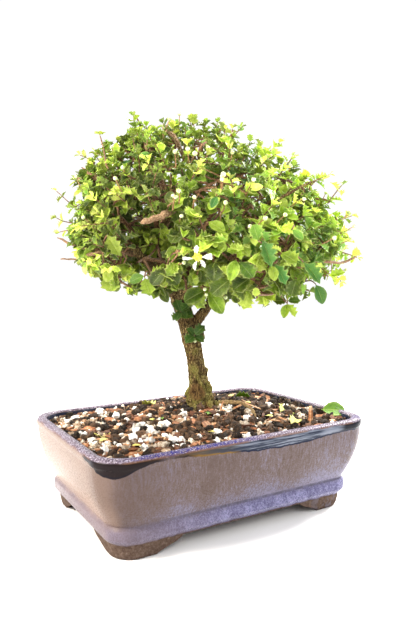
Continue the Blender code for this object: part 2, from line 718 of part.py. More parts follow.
def build_flower(parts):
    """The open flower: five clawed petals on a small receptacle, and its yellow heart."""
    axis = flower_axis()
    place = in_crown(*FLOWER_PLACE)
    frame = axis.to_track_quat("Z", "Y").to_matrix().to_4x4()
    bm = bmesh.new()
    bmesh.ops.create_cone(bm, cap_ends=True, segments=8, radius1=RECEPTACLE_RADIUS,
                          radius2=RECEPTACLE_RADIUS, depth=RECEPTACLE_THICKNESS)
    bmesh.ops.transform(bm, matrix=Matrix.Translation(place) @ frame, verts=bm.verts)
    flower = object_of(bm, "flower_petals", parts)
    pieces = []
    for number in range(PETALS):
        petal = blade(OVAL_HALF, PETAL_LENGTH, PETAL_WIDTH, PETAL_THICKNESS, 0.15, -0.12)
        turn = Matrix.Rotation(2 * math.pi * number / PETALS, 4, "Z")
        matrix = Matrix.Translation(place) @ frame @ turn @ Matrix.Translation((0, PETAL_FOOT, 0.0002))
        bmesh.ops.transform(petal, matrix=matrix, verts=petal.verts)
        pieces.append(object_of(petal, f"petal_{number}", parts))
    fuse(flower, pieces)
    flower.data.materials.append(finish_of("white_petal", PETAL_WHITE, 0.5))
    lift = RECEPTACLE_THICKNESS / 2 + FLOWER_HEART_RADIUS + 2 * FIT
    heart = ball("flower_heart", place + axis * lift, FLOWER_HEART_RADIUS, 1, parts)
    heart.data.materials.append(finish_of("yellow_stamens", HEART_YELLOW, 0.7))
    return [flower, heart]


def build_sprouts(parts, wood_tree, leaf_finish):
    """Small leafy shoots that grow straight out of the trunk's bark."""
    rng = random.Random(5)
    for name, height, (side, depth), leaves in SPROUTS:
        line = [in_crown(*row[:3]) for row in smooth_path(TRUNK_LINE, TRUNK_STEPS)]
        middle = min(line, key=lambda point: abs(point.z - height))
        way = (SIDE * side + DEPTH * depth).normalized()
        bark = wood_tree.ray_cast(middle + way * 0.05, -way)[0]
        rise = (way + UP * 0.5).normalized()
        foot = bark + way * 2 * FIT
        end = foot + way * 0.0015 + rise * SPROUT_LENGTH
        stem = tube("sprout_" + name, [foot, foot + way * 0.0015, end], [0.0010] * 3, parts)
        pieces = []
        for number in range(leaves):
            turn = Matrix.Rotation(2 * math.pi * number / leaves + rng.uniform(-0.4, 0.4), 3, rise)
            ahead = rise * 0.55 + turn @ rise.orthogonal().normalized()
            leaf = holly_leaf("spiny", SPROUT_LEAF_LENGTH)
            start = end - rise * 0.0007 * (number + 1)
            bmesh.ops.transform(leaf, matrix=placed(start, ahead, rise), verts=leaf.verts)
            pieces.append(object_of(leaf, f"sprout_leaf_{number}", parts))
        fuse(stem, pieces)
        stem.data.materials.append(leaf_finish)


def build_fallen_leaves(parts, soil):
    """Leaves that lie on the soil: each is lowered until it nearly meets the grains."""
    graph = bpy.context.evaluated_depsgraph_get()
    ground = BVHTree.FromObject(soil, graph)
    finish = finish_of("fallen_leaf", FALLEN_GREEN, 0.5)
    for number, (x, y, turn, length, tilt) in enumerate(FALLEN_LEAVES, 1):
        leaf = holly_leaf("spiny", length)
        place = POT_CENTRE + Vector((x, y, MOUND_TOP + 0.02))
        matrix = (Matrix.Translation(place) @ Matrix.Rotation(math.radians(turn), 4, "Z")
                  @ Matrix.Rotation(math.radians(tilt), 4, "X"))
        bmesh.ops.transform(leaf, matrix=matrix, verts=leaf.verts)
        tree = BVHTree.FromBMesh(leaf)
        drops = []
        for vertex in leaf.verts:
            below = ground.ray_cast(vertex.co, -UP)[0]
            drops.append((vertex.co - below).length)
        for vertex in soil.evaluated_get(graph).data.vertices:
            above = tree.ray_cast(vertex.co, UP)[0]
            if above:
                drops.append((above - vertex.co).length)
        bmesh.ops.translate(leaf, verts=leaf.verts, vec=-UP * (min(drops) - FIT))
        object_of(leaf, f"fallen_leaf_{number}", parts).data.materials.append(finish)


def twig_end(start, spray):
    """Where a twig that runs from a limb towards a spray has to stop, just short of the spray's core."""
    way = (spray.middle - start).normalized()
    rim = [Matrix.Rotation(2 * math.pi * i / 8, 3, way) @ way.orthogonal().normalized() * TWIG_RADIUS
           for i in range(8)]
    end = start
    for _ in range(TWIG_ADVANCES):
        room = min(spray.core_tree.find_nearest(end + spot)[3] for spot in rim)
        end = end + way * (room - FIT)
    return end


def build_crown(parts):
    """The sprays' cores first, then the wood whose twigs reach them, the flower and the leaves."""
    middles = [in_crown(*row[3]) for row in SPRAYS]
    rng = random.Random(11)
    sprays = [Spray(number, middles, parts, rng) for number in range(len(SPRAYS))]
    limbs = {name: limb_path(points) for name, points, _, _ in LIMBS}
    twigs = []
    for (_, limb, share, _), spray in zip(SPRAYS, sprays):
        start = limbs[limb][round(share * (len(limbs[limb]) - 1))]
        twigs.append((start, twig_end(start, spray)))
    wood = build_wood(parts, twigs)
    wood_tree = tree_of(wood)
    obstacles = [wood_tree, *(tree_of(piece) for piece in build_flower(parts))]
    back = in_crown(*FLOWER_PLACE) - flower_axis() * (RECEPTACLE_THICKNESS / 2 + FIT)
    leaf_finish = finish_of("holly_leaf", LEAF_GREEN, 0.35)
    for spray in sprays:
        around = obstacles + [other.core_tree for other in sprays if other is not spray]
        if spray.name == FLOWER_SPRAY:
            stalk = tube("flower_stalk", [spray.middle, back], [2 * STALK_RADIUS] * 2, parts, 0)
            spray.pieces.append(stalk)
            around.append(tree_of(stalk))
        known = len(around)
        spray.grow(around)
        obstacles += around[known:]
        spray.core.data.materials.append(leaf_finish)
    build_sprouts(parts, wood_tree, leaf_finish)


def main():
    clear_scene()
    parts = new_collection("dwarf_holly_bonsai")
    helpers = new_collection("cutters")
    build_pot(parts, helpers)
    build_screens(parts)
    soil = build_soil(parts, helpers)
    build_crown(parts)
    build_fallen_leaves(parts, soil)


main()
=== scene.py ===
"""The dwarf holly bonsai as it is seen: fine leaves, bark, grit and glaze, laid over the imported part.

Every size is in metres. The crown, the wood and the roots are laid out from the trunk's foot, on the
crown's own axes: side, depth and height.
"""

import math
import random

import bmesh
import bpy
import numpy as np
from mathutils import Matrix, Vector, noise


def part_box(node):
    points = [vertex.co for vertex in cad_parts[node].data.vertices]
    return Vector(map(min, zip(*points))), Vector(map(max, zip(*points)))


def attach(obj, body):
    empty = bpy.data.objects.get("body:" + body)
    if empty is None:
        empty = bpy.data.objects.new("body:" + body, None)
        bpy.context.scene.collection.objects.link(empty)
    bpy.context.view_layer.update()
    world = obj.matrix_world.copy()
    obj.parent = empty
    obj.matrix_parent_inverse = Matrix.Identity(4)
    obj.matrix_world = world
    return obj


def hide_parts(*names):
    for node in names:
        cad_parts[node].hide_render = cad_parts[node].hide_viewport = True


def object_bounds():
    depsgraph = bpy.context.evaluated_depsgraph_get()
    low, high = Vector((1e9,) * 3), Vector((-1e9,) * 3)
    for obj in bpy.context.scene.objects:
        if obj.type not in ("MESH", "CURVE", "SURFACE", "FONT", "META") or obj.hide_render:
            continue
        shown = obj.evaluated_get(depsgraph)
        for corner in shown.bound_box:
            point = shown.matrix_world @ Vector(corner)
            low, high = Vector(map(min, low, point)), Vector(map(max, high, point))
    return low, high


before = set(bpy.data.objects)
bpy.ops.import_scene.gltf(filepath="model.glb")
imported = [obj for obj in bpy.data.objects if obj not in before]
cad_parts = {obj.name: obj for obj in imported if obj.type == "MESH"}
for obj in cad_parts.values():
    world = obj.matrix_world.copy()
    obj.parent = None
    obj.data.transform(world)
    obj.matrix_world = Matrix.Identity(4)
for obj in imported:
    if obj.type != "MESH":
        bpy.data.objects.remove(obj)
cad_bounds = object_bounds()

# The pot, as in the part.
POT_LOW, POT_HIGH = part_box("pot")
POT_MIDDLE = Vector(((POT_LOW.x + POT_HIGH.x) / 2, (POT_LOW.y + POT_HIGH.y) / 2, 0))
POT_LENGTH = 0.205
POT_WIDTH = 0.151
POT_HEIGHT = 0.0655
POT_CORNER_RADIUS = 0.0198
CORNER_TIGHTENING = 0.37
CORNER_STEPS = 14
FOOT_HEIGHT = 0.0095
FOOT_INSET = 0.0142
LONG_ARCH_HALF = 0.063
SHORT_ARCH_HALF = 0.04
ARCH_SLOPE = 0.017
BAND_BOTTOM = 0.0118
BAND_INSET = 0.0098
WALL_FOOT = 0.0215
WALL_FOOT_INSET = 0.0114
WALL_HEAD_INSET = 0.0008
WALL_BOW = 1.9
LIP_BOTTOM = 0.0592
LIP_WIDTH = 0.0064
WALL_THICKNESS = 0.0052
FLOOR_TOP = 0.0155
DRAIN_RADIUS = 0.0065
DRAIN_OFFSET = 0.046
DRILL_LENGTH = 0.03
INNER_GLAZE_TOP = 0.0642
WALL_LEVELS = 22
ARCH_STEPS = 12
ARCH_BELOW_FLOOR = 0.002
ARCH_BAR_HALF = 0.15
FIT = 0.0003

# The soil and its mound.
SOIL_LEVEL = POT_HEIGHT - 0.0046
SOIL_MOUND = 0.0075
MOUND_REACH = 0.052
MOUND_TOP = SOIL_LEVEL + SOIL_MOUND
BED_STEP = 0.0045
BED_TOP_FROM = SOIL_LEVEL - 0.002
BED_DROP = 0.0012
TRUNK_FOOT = POT_MIDDLE + Vector((0.011, 0.014, 0))
STUMP_RADIUS = 0.0092
STUMP_DEPTH = 0.013

# The crown's axes.
CROWN_TURN = math.radians(-30.7)
SIDE = Matrix.Rotation(CROWN_TURN, 3, "Z") @ Vector((1, 0, 0))
DEPTH = Matrix.Rotation(CROWN_TURN, 3, "Z") @ Vector((0, 1, 0))
UP = Vector((0, 0, 1))

# The trunk's middle line as side, depth and height, with the radius there.
TRUNK_LINE = (
    (0, 0, MOUND_TOP - STUMP_DEPTH, STUMP_RADIUS),
    (0, 0, MOUND_TOP + 0.0017, STUMP_RADIUS),
    (-0.001, -0.0006, 0.084, 0.0077),
    (-0.0032, -0.0016, 0.103, 0.0064),
    (-0.0068, -0.003, 0.122, 0.0067),
    (-0.011, -0.0036, 0.138, 0.0065),
    (-0.0152, -0.0036, 0.151, 0.0058),
    (-0.0185, -0.003, 0.162, 0.0052),
)

# Surface roots as side, depth and lift over the soil, with the radius there.
ROOTS = (
    ((0.005, -0.002, 0.004, 0.0036), (0.012, -0.0035, 0.002, 0.0024), (0.023, -0.007, 0.0052, 0.0015),
     (0.033, -0.013, 0.0062, 0.0012), (0.039, -0.024, 0.004, 0.0011), (0.0405, -0.035, -0.001, 0.0009)),
    ((-0.002, -0.005, 0.004, 0.004), (-0.0045, -0.0115, 0, 0.003), (-0.009, -0.019, -0.0034, 0.002)),
    ((-0.005, 0.001, 0.0035, 0.0036), (-0.0125, 0.004, -0.0006, 0.0026), (-0.02, 0.007, -0.0034, 0.0018)),
    ((0.002, 0.005, 0.004, 0.0036), (0.006, 0.012, 0, 0.0026), (0.01, 0.02, -0.0034, 0.0018)),
    ((0.005, -0.0055, 0.006, 0.0024), (0.0085, -0.0095, 0.0012, 0.0018), (0.012, -0.015, -0.0016, 0.001)),
    ((0.007, -0.002, 0.009, 0.0022), (0.0105, -0.004, 0.002, 0.0016), (0.013, -0.007, -0.002, 0.0012)),
    ((-0.006, -0.004, 0.003, 0.0026), (-0.011, -0.008, -0.0004, 0.0018), (-0.016, -0.011, -0.0026, 0.001)),
)

# Knots on the trunk: side, depth and height, with the radius.
KNOTS = (
    (0.0056, -0.0036, 0.0745, 0.0042), (-0.0058, -0.005, 0.074, 0.0048), (0, -0.0066, 0.0765, 0.0036),
    (0.005, 0.005, 0.074, 0.0046), (0.0042, -0.003, 0.085, 0.004), (-0.0062, -0.002, 0.09, 0.003),
    (0.004, -0.0022, 0.0955, 0.0022), (-0.0078, -0.0042, 0.113, 0.0026), (0.0004, -0.0048, 0.123, 0.0036),
    (-0.012, -0.006, 0.13, 0.0026), (-0.0075, -0.006, 0.1385, 0.0034), (-0.019, -0.005, 0.148, 0.0024),
    (-0.0076, -0.0034, 0.0795, 0.0042), (0.0066, -0.002, 0.0815, 0.0034),
)

# The scar at the trunk's foot, reddish brown, with dark crevices painted as the shadow under the root flare:
# its place as side, depth and height, its reach and its depth.
SCAR = (-0.0025, -0.0085, 0.08)
SCAR_REACH = 0.0045
SCAR_DEPTH = 0.0015

# The wood's skin, and how far its bark stands out. Old bark fades out over its reach up the trunk.
WOOD_VOXEL = 0.00068
BARK_RIDGES = 0.0022
BARK_FURROWS = 0.0006
BARK_LUMPS = 0.0011
OLD_BARK_REACH = 0.08

# Limbs as side, depth, height and radius.
LIMBS = {
    "leader": ((-0.017, -0.003, 0.157, 0.0052), (-0.0278, -0.001, 0.174, 0.0044),
               (-0.0295, 0, 0.207, 0.0034), (-0.023, 0.001, 0.228, 0.0024)),
    "left": ((-0.015, -0.0036, 0.15, 0.0044), (-0.025, -0.001, 0.163, 0.0038),
             (-0.037, 0.004, 0.179, 0.003), (-0.045, 0.007, 0.194, 0.0022)),
    "right": ((-0.008, -0.003, 0.126, 0.0042), (0.002, -0.004, 0.139, 0.0037),
              (0.011, -0.005, 0.152, 0.0032), (0.026, -0.005, 0.176, 0.0027),
              (0.04, -0.004, 0.19, 0.0022)),
    "front": ((-0.013, -0.004, 0.144, 0.0038), (-0.012, -0.014, 0.156, 0.0033),
              (-0.008, -0.026, 0.17, 0.0028), (-0.004, -0.034, 0.186, 0.0022)),
    "back": ((-0.016, -0.003, 0.154, 0.0038), (-0.011, 0.012, 0.164, 0.0033),
             (-0.004, 0.026, 0.174, 0.0028), (0.002, 0.034, 0.188, 0.0022)),
}

# The crown's outline, as in the part: spans from its middle, each way.
CROWN_MIDDLE = (-0.02, 0, 0.2)
CROWN_LEFT = 0.09
CROWN_RIGHT = 0.144
CROWN_DEPTH = 0.098
CROWN_RISE = 0.089
CROWN_DROP = 0.054
CROWN_SLOPE = 0.09
TOP_ROUNDNESS = 1.8
UNDER_ROUNDNESS = 2.4

# Sprays: name, limb, share of the limb where the branch starts, and middle as side, depth and height.
SPRAYS = (
    ("top_left", "leader", 1, (-0.038, 0, 0.257)),
    ("top_right", "leader", 1, (0.015, -0.001, 0.253)),
    ("mid_left", "left", 1, (-0.074, -0.002, 0.226)),
    ("mid_front_left", "leader", 0.6, (-0.035, -0.052, 0.227)),
    ("mid_front_right", "front", 1, (0.022, -0.054, 0.223)),
    ("mid_right", "right", 1, (0.07, -0.004, 0.224)),
    ("mid_back_right", "back", 1, (0.033, 0.051, 0.223)),
    ("mid_back_left", "leader", 0.75, (-0.029, 0.051, 0.226)),
    ("low_left", "left", 0.6, (-0.068, -0.012, 0.187)),
    ("low_front_left", "front", 0.6, (-0.044, -0.06, 0.183)),
    ("low_front", "front", 0.9, (0.007, -0.068, 0.173)),
    ("low_front_right", "right", 0.7, (0.056, -0.056, 0.173)),
    ("low_right", "right", 1, (0.088, -0.004, 0.185)),
    ("low_back_right", "right", 0.8, (0.061, 0.053, 0.178)),
    ("low_back", "back", 0.9, (0.007, 0.068, 0.179)),
    ("low_back_left", "back", 0.6, (-0.047, 0.05, 0.184)),
)

# Shoots: how many in each layer, and how far out a layer ends.
OUTER_SHOOTS = 420
INNER_SHOOTS = 130
INNER_SHARE = 0.7
HEART_SHOOTS = 80
HEART_SHARE = 0.4
SHOOTS_PER_BUD = 9
MISSING_LEAVES = 0.1
LEAF_TO_EDGE = 0.0072
BOX_MARGIN = 0.0035
OUTSIDE_SLACK = 1.25

# Leaf lengths, and the ages that shoots are drawn from: 0 is old and dark, 1 is new and pale.
LEAF_SIZE_TOP = 0.0088
LEAF_SIZE_LOW = 0.0126
SPRIG_LEAF = 0.0085
TUFT_LEAF = 0.0088
FILLER_LEAF = 0.0098
SPROUT_LEAF = 0.0098
ROSETTE_LEAF = 0.0046
OUTER_YOUTHS = (0.18, 0.36, 0.56, 0.78, 1)
INNER_YOUTHS = (0.05, 0.15, 0.25)
FILLER_YOUTHS = (0.15, 0.35, 0.55)
HOLLOW_YOUTHS = (0.75, 0.95)
TUFT_YOUTHS = (0.35, 0.65, 0.95)

# The crown's right is drawn in past a side place, and its left past another one below a height.
RIGHT_DRAWN_IN = 0.085
RIGHT_DRAWN_FROM = 0.01
RIGHT_DRAWN_SPAN = 0.09
LEFT_DRAWN_IN = 0.45
LEFT_DRAWN_FROM = -0.072
LEFT_DRAWN_TOP = 0.235

# Where few shoots or none end: under the left of the crown, and round the leaning trunk.
UNDER_LEFT_FROM = -0.028
UNDER_LEFT_TOP = 0.174
UNDER_LEFT_THINNING = 0.75
BARE_TRUNK_SIDE = -0.014
BARE_TRUNK_TOP = 0.185
BARE_TRUNK_REACH = 0.026

# The open hollow at the crown's front, where the limbs show: middle and half spans in side, depth, height.
HOLLOW_MIDDLE = (-0.036, -0.072, 0.193)
HOLLOW_SPANS = (0.027, 0.07, 0.026)
HOLLOW_THINNING = 0.92

# Where leaves are painted olive, dull and darker as shade: middle and half spans in side, depth, height.
SHADES = (
    ((-0.033, -0.05, 0.198), (0.042, 0.07, 0.044)),
    ((0.008, -0.05, 0.164), (0.064, 0.06, 0.026)),
)

# Cut and broken limbs and bare twigs, as side, depth, height and radius.
STUBS = (
    ("pale", (-0.029, -0.001, 0.2, 0.0028), (-0.017, -0.04, 0.211, 0.0026), (-0.017, -0.068, 0.208, 0.0024),
     (-0.0245, -0.079, 0.204, 0.0022), (-0.0355, -0.084, 0.1993, 0.0018)),
    ("bark", (-0.029, -0.001, 0.205, 0.0026), (-0.02, -0.04, 0.21, 0.0024), (-0.031, -0.048, 0.218, 0.0022),
     (-0.0427, -0.048, 0.2207, 0.0015)),
    ("bark", (-0.037, 0.004, 0.179, 0.0029), (-0.047, -0.002, 0.1872, 0.0027),
     (-0.057, -0.005, 0.196, 0.0024), (-0.066, -0.006, 0.2025, 0.0016)),
    ("bark", (-0.016, -0.004, 0.153, 0.0037), (-0.03, -0.028, 0.1715, 0.0035),
     (-0.042, -0.04, 0.1845, 0.0031), (-0.0545, -0.042, 0.196, 0.0022)),
    ("pale", (-0.006, -0.015, 0.248, 0.0017), (-0.0148, -0.045, 0.2592, 0.0014),
     (-0.0233, -0.045, 0.2689, 0.0011)),
    ("twig", (0.002, -0.012, 0.242, 0.0011), (0.0026, -0.058, 0.249, 0.0009), (0.0065, -0.06, 0.254, 0.0008)),
    ("twig", (-0.03, -0.006, 0.25, 0.0012), (-0.0362, -0.03, 0.2559, 0.001),
     (-0.0417, -0.01, 0.2776, 0.0008), (-0.0445, -0.01, 0.2841, 0.0006)),
    ("twig", (0, -0.006, 0.256, 0.0012), (0.004, -0.006, 0.27, 0.0009), (0.006, -0.006, 0.279, 0.0007)),
    ("twig", (0.018, -0.006, 0.254, 0.0012), (0.024, -0.006, 0.268, 0.0009), (0.026, -0.006, 0.276, 0.0007)),
    ("bark", (0.038, -0.006, 0.196, 0.0016), (0.044, -0.048, 0.213, 0.0013), (0.0569, -0.059, 0.2196, 0.001),
     (0.069, -0.054, 0.2254, 0.0009), (0.076, -0.052, 0.2305, 0.0006)),
    ("twig", (0.04, -0.024, 0.176, 0.0015), (0.0826, -0.036, 0.1762, 0.0011),
     (0.1025, -0.024, 0.1766, 0.0008), (0.115, -0.014, 0.1805, 0.0006)),
    ("twig", (-0.06, -0.006, 0.186, 0.0014), (-0.082, -0.016, 0.1875, 0.0011),
     (-0.104, -0.006, 0.197, 0.0009)),
    ("twig", (-0.07, -0.01, 0.18, 0.0009), (-0.092, -0.008, 0.1808, 0.0006),
     (-0.1045, -0.008, 0.181, 0.0005)),
    ("twig", (-0.052, -0.018, 0.222, 0.0014), (-0.072, -0.03, 0.237, 0.0012), (-0.083, -0.022, 0.246, 0.001)),
    ("twig", (-0.058, -0.012, 0.224, 0.0013), (-0.08, -0.02, 0.234, 0.0011),
     (-0.0888, -0.011, 0.2425, 0.0009)),
    ("bark", (-0.05, -0.018, 0.218, 0.0016), (-0.064, -0.04, 0.23, 0.0014),
     (-0.0723, -0.034, 0.2397, 0.0012)),
    ("pale", (-0.045, -0.024, 0.185, 0.002), (-0.0592, -0.06, 0.1836, 0.0019),
     (-0.074, -0.062, 0.18, 0.0012)),
    ("twig", (-0.05, -0.03, 0.185, 0.0012), (-0.065, -0.061, 0.1855, 0.0009),
     (-0.0778, -0.06, 0.186, 0.0006)),
    ("twig", (-0.05, -0.034, 0.226, 0.0008), (-0.06, -0.048, 0.24, 0.0006),
     (-0.0665, -0.029, 0.2566, 0.0005), (-0.069, -0.026, 0.269, 0.0004)),
    ("bark", (-0.018, -0.03, 0.218, 0.0011), (-0.0157, -0.07, 0.2208, 0.0009),
     (-0.0165, -0.07, 0.2325, 0.0007)),
)
# A twig thinner than this at its end holds a rosette of leaves.
ROSETTE_TWIG = 0.0005

# Tips of extra shoots where the crown would show through: side, depth and height.
FILLERS = (
    (0.009, -0.02, 0.24), (0.005, -0.035, 0.235), (0.013, -0.005, 0.246), (0.011, -0.042, 0.237),
    (0.001, -0.015, 0.242), (0.018, -0.03, 0.239), (-0.05, -0.02, 0.176), (-0.045, -0.038, 0.175),
    (-0.054, 0.004, 0.177), (0.03, -0.02, 0.21), (-0.01, -0.015, 0.22),
)

# Tips of dull shoots at the back of the hollow: side, depth and height.
HOLLOW_FILLERS = (
    (-0.042, -0.008, 0.196), (-0.033, -0.006, 0.186), (-0.05, -0.012, 0.191), (-0.026, -0.01, 0.196),
    (-0.04, 0.004, 0.188), (-0.03, 0.002, 0.202), (-0.0334, -0.032, 0.1944), (-0.037, -0.034, 0.188),
    (-0.0212, -0.032, 0.1854), (-0.0236, -0.032, 0.193),
)

# Buds that stand out at the front: side, depth, height and how many together.
BUD_CLUSTERS = (
    (-0.0125, -0.076, 0.244, 1), (-0.003, -0.074, 0.245, 2), (0.0175, -0.081, 0.227, 4),
    (-0.01, -0.088, 0.218, 1), (-0.014, -0.089, 0.2145, 1), (-0.001, -0.088, 0.215, 1),
    (0.0175, -0.086, 0.211, 1), (-0.009, -0.086, 0.203, 1), (-0.05, -0.077, 0.2275, 1),
    (0.112, -0.0114, 0.211, 2), (0.107, -0.034, 0.192, 1),
    (0.106, -0.023, 0.171, 1), (0.042, -0.079, 0.202, 1), (0.09, -0.056, 0.191, 1),
    (0.035, -0.076, 0.226, 1), (0.056, -0.072, 0.205, 1), (0.004, -0.064, 0.1575, 2),
)

# Leaves that stand out: foot and way as side, depth and height, then size, shape, age and hue. Hue goes from
# olive at -1, a painted shade tint, to blue-green at 1.
LOOSE_LEAVES = (
    ((-0.0575, -0.06, 0.1715), (0.05, -0.15, -1), 0.0135, "broad", 0.56, -0.7),
    ((-0.034, -0.068, 0.168), (-1, -0.2, -0.35), 0.01, "oval", 0.4, 0.6),
    ((-0.034, -0.068, 0.167), (0.3, -0.2, -1), 0.0125, "spiny", 0.58, 0),
    ((-0.0562, -0.076, 0.1935), (0.55, -0.3, -0.8), 0.015, "slim", 0.6, -0.8),
    ((-0.0207, -0.07, 0.1712), (-0.75, -0.4, -0.75), 0.0125, "broad", 0.1, -0.4),
    ((-0.02, -0.07, 0.1712), (0.7, -0.4, -0.75), 0.012, "broad", 0.06, -0.5),
    ((-0.0427, -0.068, 0.224), (0.7, -0.3, -0.55), 0.0085, "slim", 0.62, -0.8),
    ((0.005, -0.06, 0.158), (-1, -0.3, -0.45), 0.0155, "oval", 0.24, 0.1),
    ((0.0072, -0.06, 0.1572), (0.66, -0.3, -1), 0.0172, "oval", 0.44, 0.2),
    ((0.003, -0.056, 0.1575), (-0.3, 0.1, -1), 0.013, "spiny", 0.4, -0.9),
    ((-0.002, -0.05, 0.156), (-0.55, 0.1, -1), 0.011, "slim", 0.3, -0.9),
    ((0.0107, -0.08, 0.1765), (0, -0.4, -1), 0.0125, "broad", 0.24, -1),
    ((0.021, -0.072, 0.165), (-0.85, -0.3, -0.6), 0.015, "broad", 0.22, -0.7),
    ((0.034, -0.071, 0.166), (-0.9, -0.3, -0.55), 0.0135, "broad", 0.12, -0.6),
    ((0.0654, -0.058, 0.165), (-0.35, -0.2, -1), 0.012, "broad", 0.2, -0.6),
    ((0.0345, -0.054, 0.157), (-0.35, -0.1, -1), 0.013, "spiny", 0.66, -0.9),
    ((0.038, -0.062, 0.16), (0.05, -0.2, -1), 0.006, "broad", 0.95, 0),
    ((0.064, -0.022, 0.149), (-1, -0.2, 0.1), 0.0105, "spiny", 0.08, 0),
    ((0.064, -0.022, 0.149), (1, -0.2, 0.1), 0.0095, "spiny", 0.1, 0.3),
    ((0.064, -0.022, 0.147), (-0.3, -0.3, -0.8), 0.0105, "oval", 0.6, 0.2),
    ((0.064, -0.022, 0.147), (0.6, -0.3, -0.8), 0.011, "slim", 0.74, 0),
    ((0.083, -0.03, 0.161), (0.45, -0.1, -1), 0.015, "oval", 0.16, 0.9),
    ((0.002, -0.087, 0.2035), (-0.95, -0.6, 0.35), 0.0095, "oval", 0.6, 0),
    ((0.0072, -0.087, 0.2003), (0.95, -0.6, -0.55), 0.013, "oval", 0.62, 0),
    ((0.0199, -0.085, 0.1849), (-1, -0.5, 0.12), 0.012, "broad", 0.5, 0.1),
    ((0.0205, -0.085, 0.1845), (0.95, -0.6, 0), 0.009, "slim", 0.92, 0),
    ((0.0243, -0.083, 0.1772), (-0.32, -0.5, -1), 0.0135, "oval", 0.58, 0.2),
    ((0.0265, -0.08, 0.176), (0.7, -0.4, -0.8), 0.013, "broad", 0.22, 0.3),
    ((0.0377, -0.086, 0.1885), (-0.25, -0.5, 0.85), 0.0105, "broad", 0.56, 0.5),
    ((0.0405, -0.084, 0.189), (0.35, -0.5, -0.95), 0.0175, "slim", 0.36, 0.9),
    ((0.0464, -0.078, 0.174), (0.2, -0.5, -1), 0.011, "oval", 0.74, 0),
    ((0.0491, -0.076, 0.1745), (0.5, -0.4, -0.9), 0.0145, "slim", 0.3, 1),
    ((0.053, -0.077, 0.1815), (0.8, -0.5, -0.5), 0.0145, "broad", 0.58, -0.4),
    ((0.0683, -0.068, 0.1755), (0.7, -0.3, -0.75), 0.017, "slim", 0.3, 0.9),
    ((0.0938, -0.022, 0.1665), (1, -0.3, 0.4), 0.012, "slim", 0.66, 0),
    ((0.06, -0.076, 0.196), (0.7, -0.4, -0.7), 0.012, "oval", 0.36, 0.6),
    ((0.013, -0.084, 0.216), (-0.4, -0.5, -0.8), 0.009, "oval", 0.14, 0.7),
)

# Pale new sprigs that reach past the rest: root, tip as side, depth and height.
SPRIGS = (
    ((-0.08, -0.018, 0.223), (-0.102, -0.018, 0.23)), ((-0.085, -0.015, 0.206), (-0.103, -0.015, 0.211)),
    ((-0.083, -0.01, 0.196), (-0.102, -0.012, 0.201)), ((0.086, -0.006, 0.224), (0.107, -0.006, 0.234)),
    ((0.098, -0.008, 0.203), (0.114, -0.008, 0.211)), ((0.102, -0.014, 0.186), (0.117, -0.012, 0.18)),
    ((0.082, -0.01, 0.228), (0.097, -0.01, 0.241)), ((-0.074, -0.01, 0.246), (-0.086, -0.01, 0.257)),
    ((0.098, 0.01, 0.17), (0.11, 0.01, 0.162)), ((0.082, 0.042, 0.204), (0.0975, 0.05, 0.207)),
)

# Tufts that stand out of the outline: side and height of their tips.
TUFT_DEPTH = -0.005
TUFTS = (
    (-0.074, 0.258), (-0.046, 0.284), (-0.037, 0.277), (-0.017, 0.278), (-0.005, 0.281), (0.006, 0.278),
    (0.015, 0.281), (0.026, 0.277), (0.0326, 0.277), (0.0472, 0.266), (0.0602, 0.265), (0.0706, 0.255),
    (0.0809, 0.242), (0.09, 0.239), (0.1, 0.2226), (0.106, 0.2121), (0.108, 0.2), (0.109, 0.1879),
    (0.106, 0.1774), (0.106, 0.162), (0.092, 0.153), (-0.083, 0.244), (-0.095, 0.22), (-0.088, 0.18),
    (-0.065, 0.165),
)

# The open flower: its place, the foot of its stalk and the way it faces, as side, depth and height.
FLOWER_PLACE = (0.001, -0.101, 0.178)
FLOWER_ROOT = (0.0014, -0.08, 0.1785)
FLOWER_FACES = (-0.05, -1, 0.35)
STAMENS = 26
STAMEN_RADIUS = 0.00014

# Petals: turn round the flower, size, tilt and roll.
PETALS = ((104, 0.008, 8, -30), (191, 0.0086, -6, 42), (250, 0.0076, -20, 45),
          (318, 0.007, -14, -25), (4, 0.0084, 4, 25))

# A petal of unit length: places along it and half widths. Then the fold, curl, wave and forward reach of
# the three petal shapes.
PETAL_ROWS = ((0, 0.034), (0.22, 0.036), (0.38, 0.05), (0.5, 0.12), (0.62, 0.185), (0.74, 0.18),
              (0.85, 0.225), (0.94, 0.15), (1, 0.05))
PETAL_BENDS = ((0.6, 0.3, 0.3, -0.3), (0.4, -0.18, 0.16, 0.22), (0.8, 0.1, 0.24, -0.22))

# Leafy sprouts on the trunk: name, height, way as side and depth, number of leaf pairs.
SPROUTS = (("low", 0.1215, (0.25, -0.97), 2), ("high", 0.14, (-0.2, -0.98), 4))

# Leaves that fell on the soil: place from the pot's middle, turn, length, tilt and roll, and age.
FALLEN_LEAVES = (
    (-0.0123, 0.044, 20, 0.015, 8, 10, 0.75), (-0.078, 0.002, 200, 0.013, 2, -12, 0.95),
    (0.0594, -0.0242, 300, 0.016, -4, 25, 0.6), (0.056, -0.047, 130, 0.014, 10, -20, 0.85),
    (0.07, 0.031, 60, 0.013, 12, 30, 0.3), (0.0872, -0.0372, 228, 0.0178, 4, 38, 0.22),
)

# Grains: their number, least and largest radius, then the share left out at the tray's left and at its right,
# and where along the tray its right begins.
GRAINS = {
    "clod": (760, 0.0011, 0.0042, 0.3, 0, -0.03),
    "perlite": (375, 0.001, 0.0038, 0.4, 0.77, -0.03),
    "chip": (520, 0.0012, 0.0036, 0, 0.45, 0),
    "bit": (1800, 0.0006, 0.0016, 0, 0.85, 0),
}
GRAIN_TRIES = 26
GRAIN_SPACING = 0.74

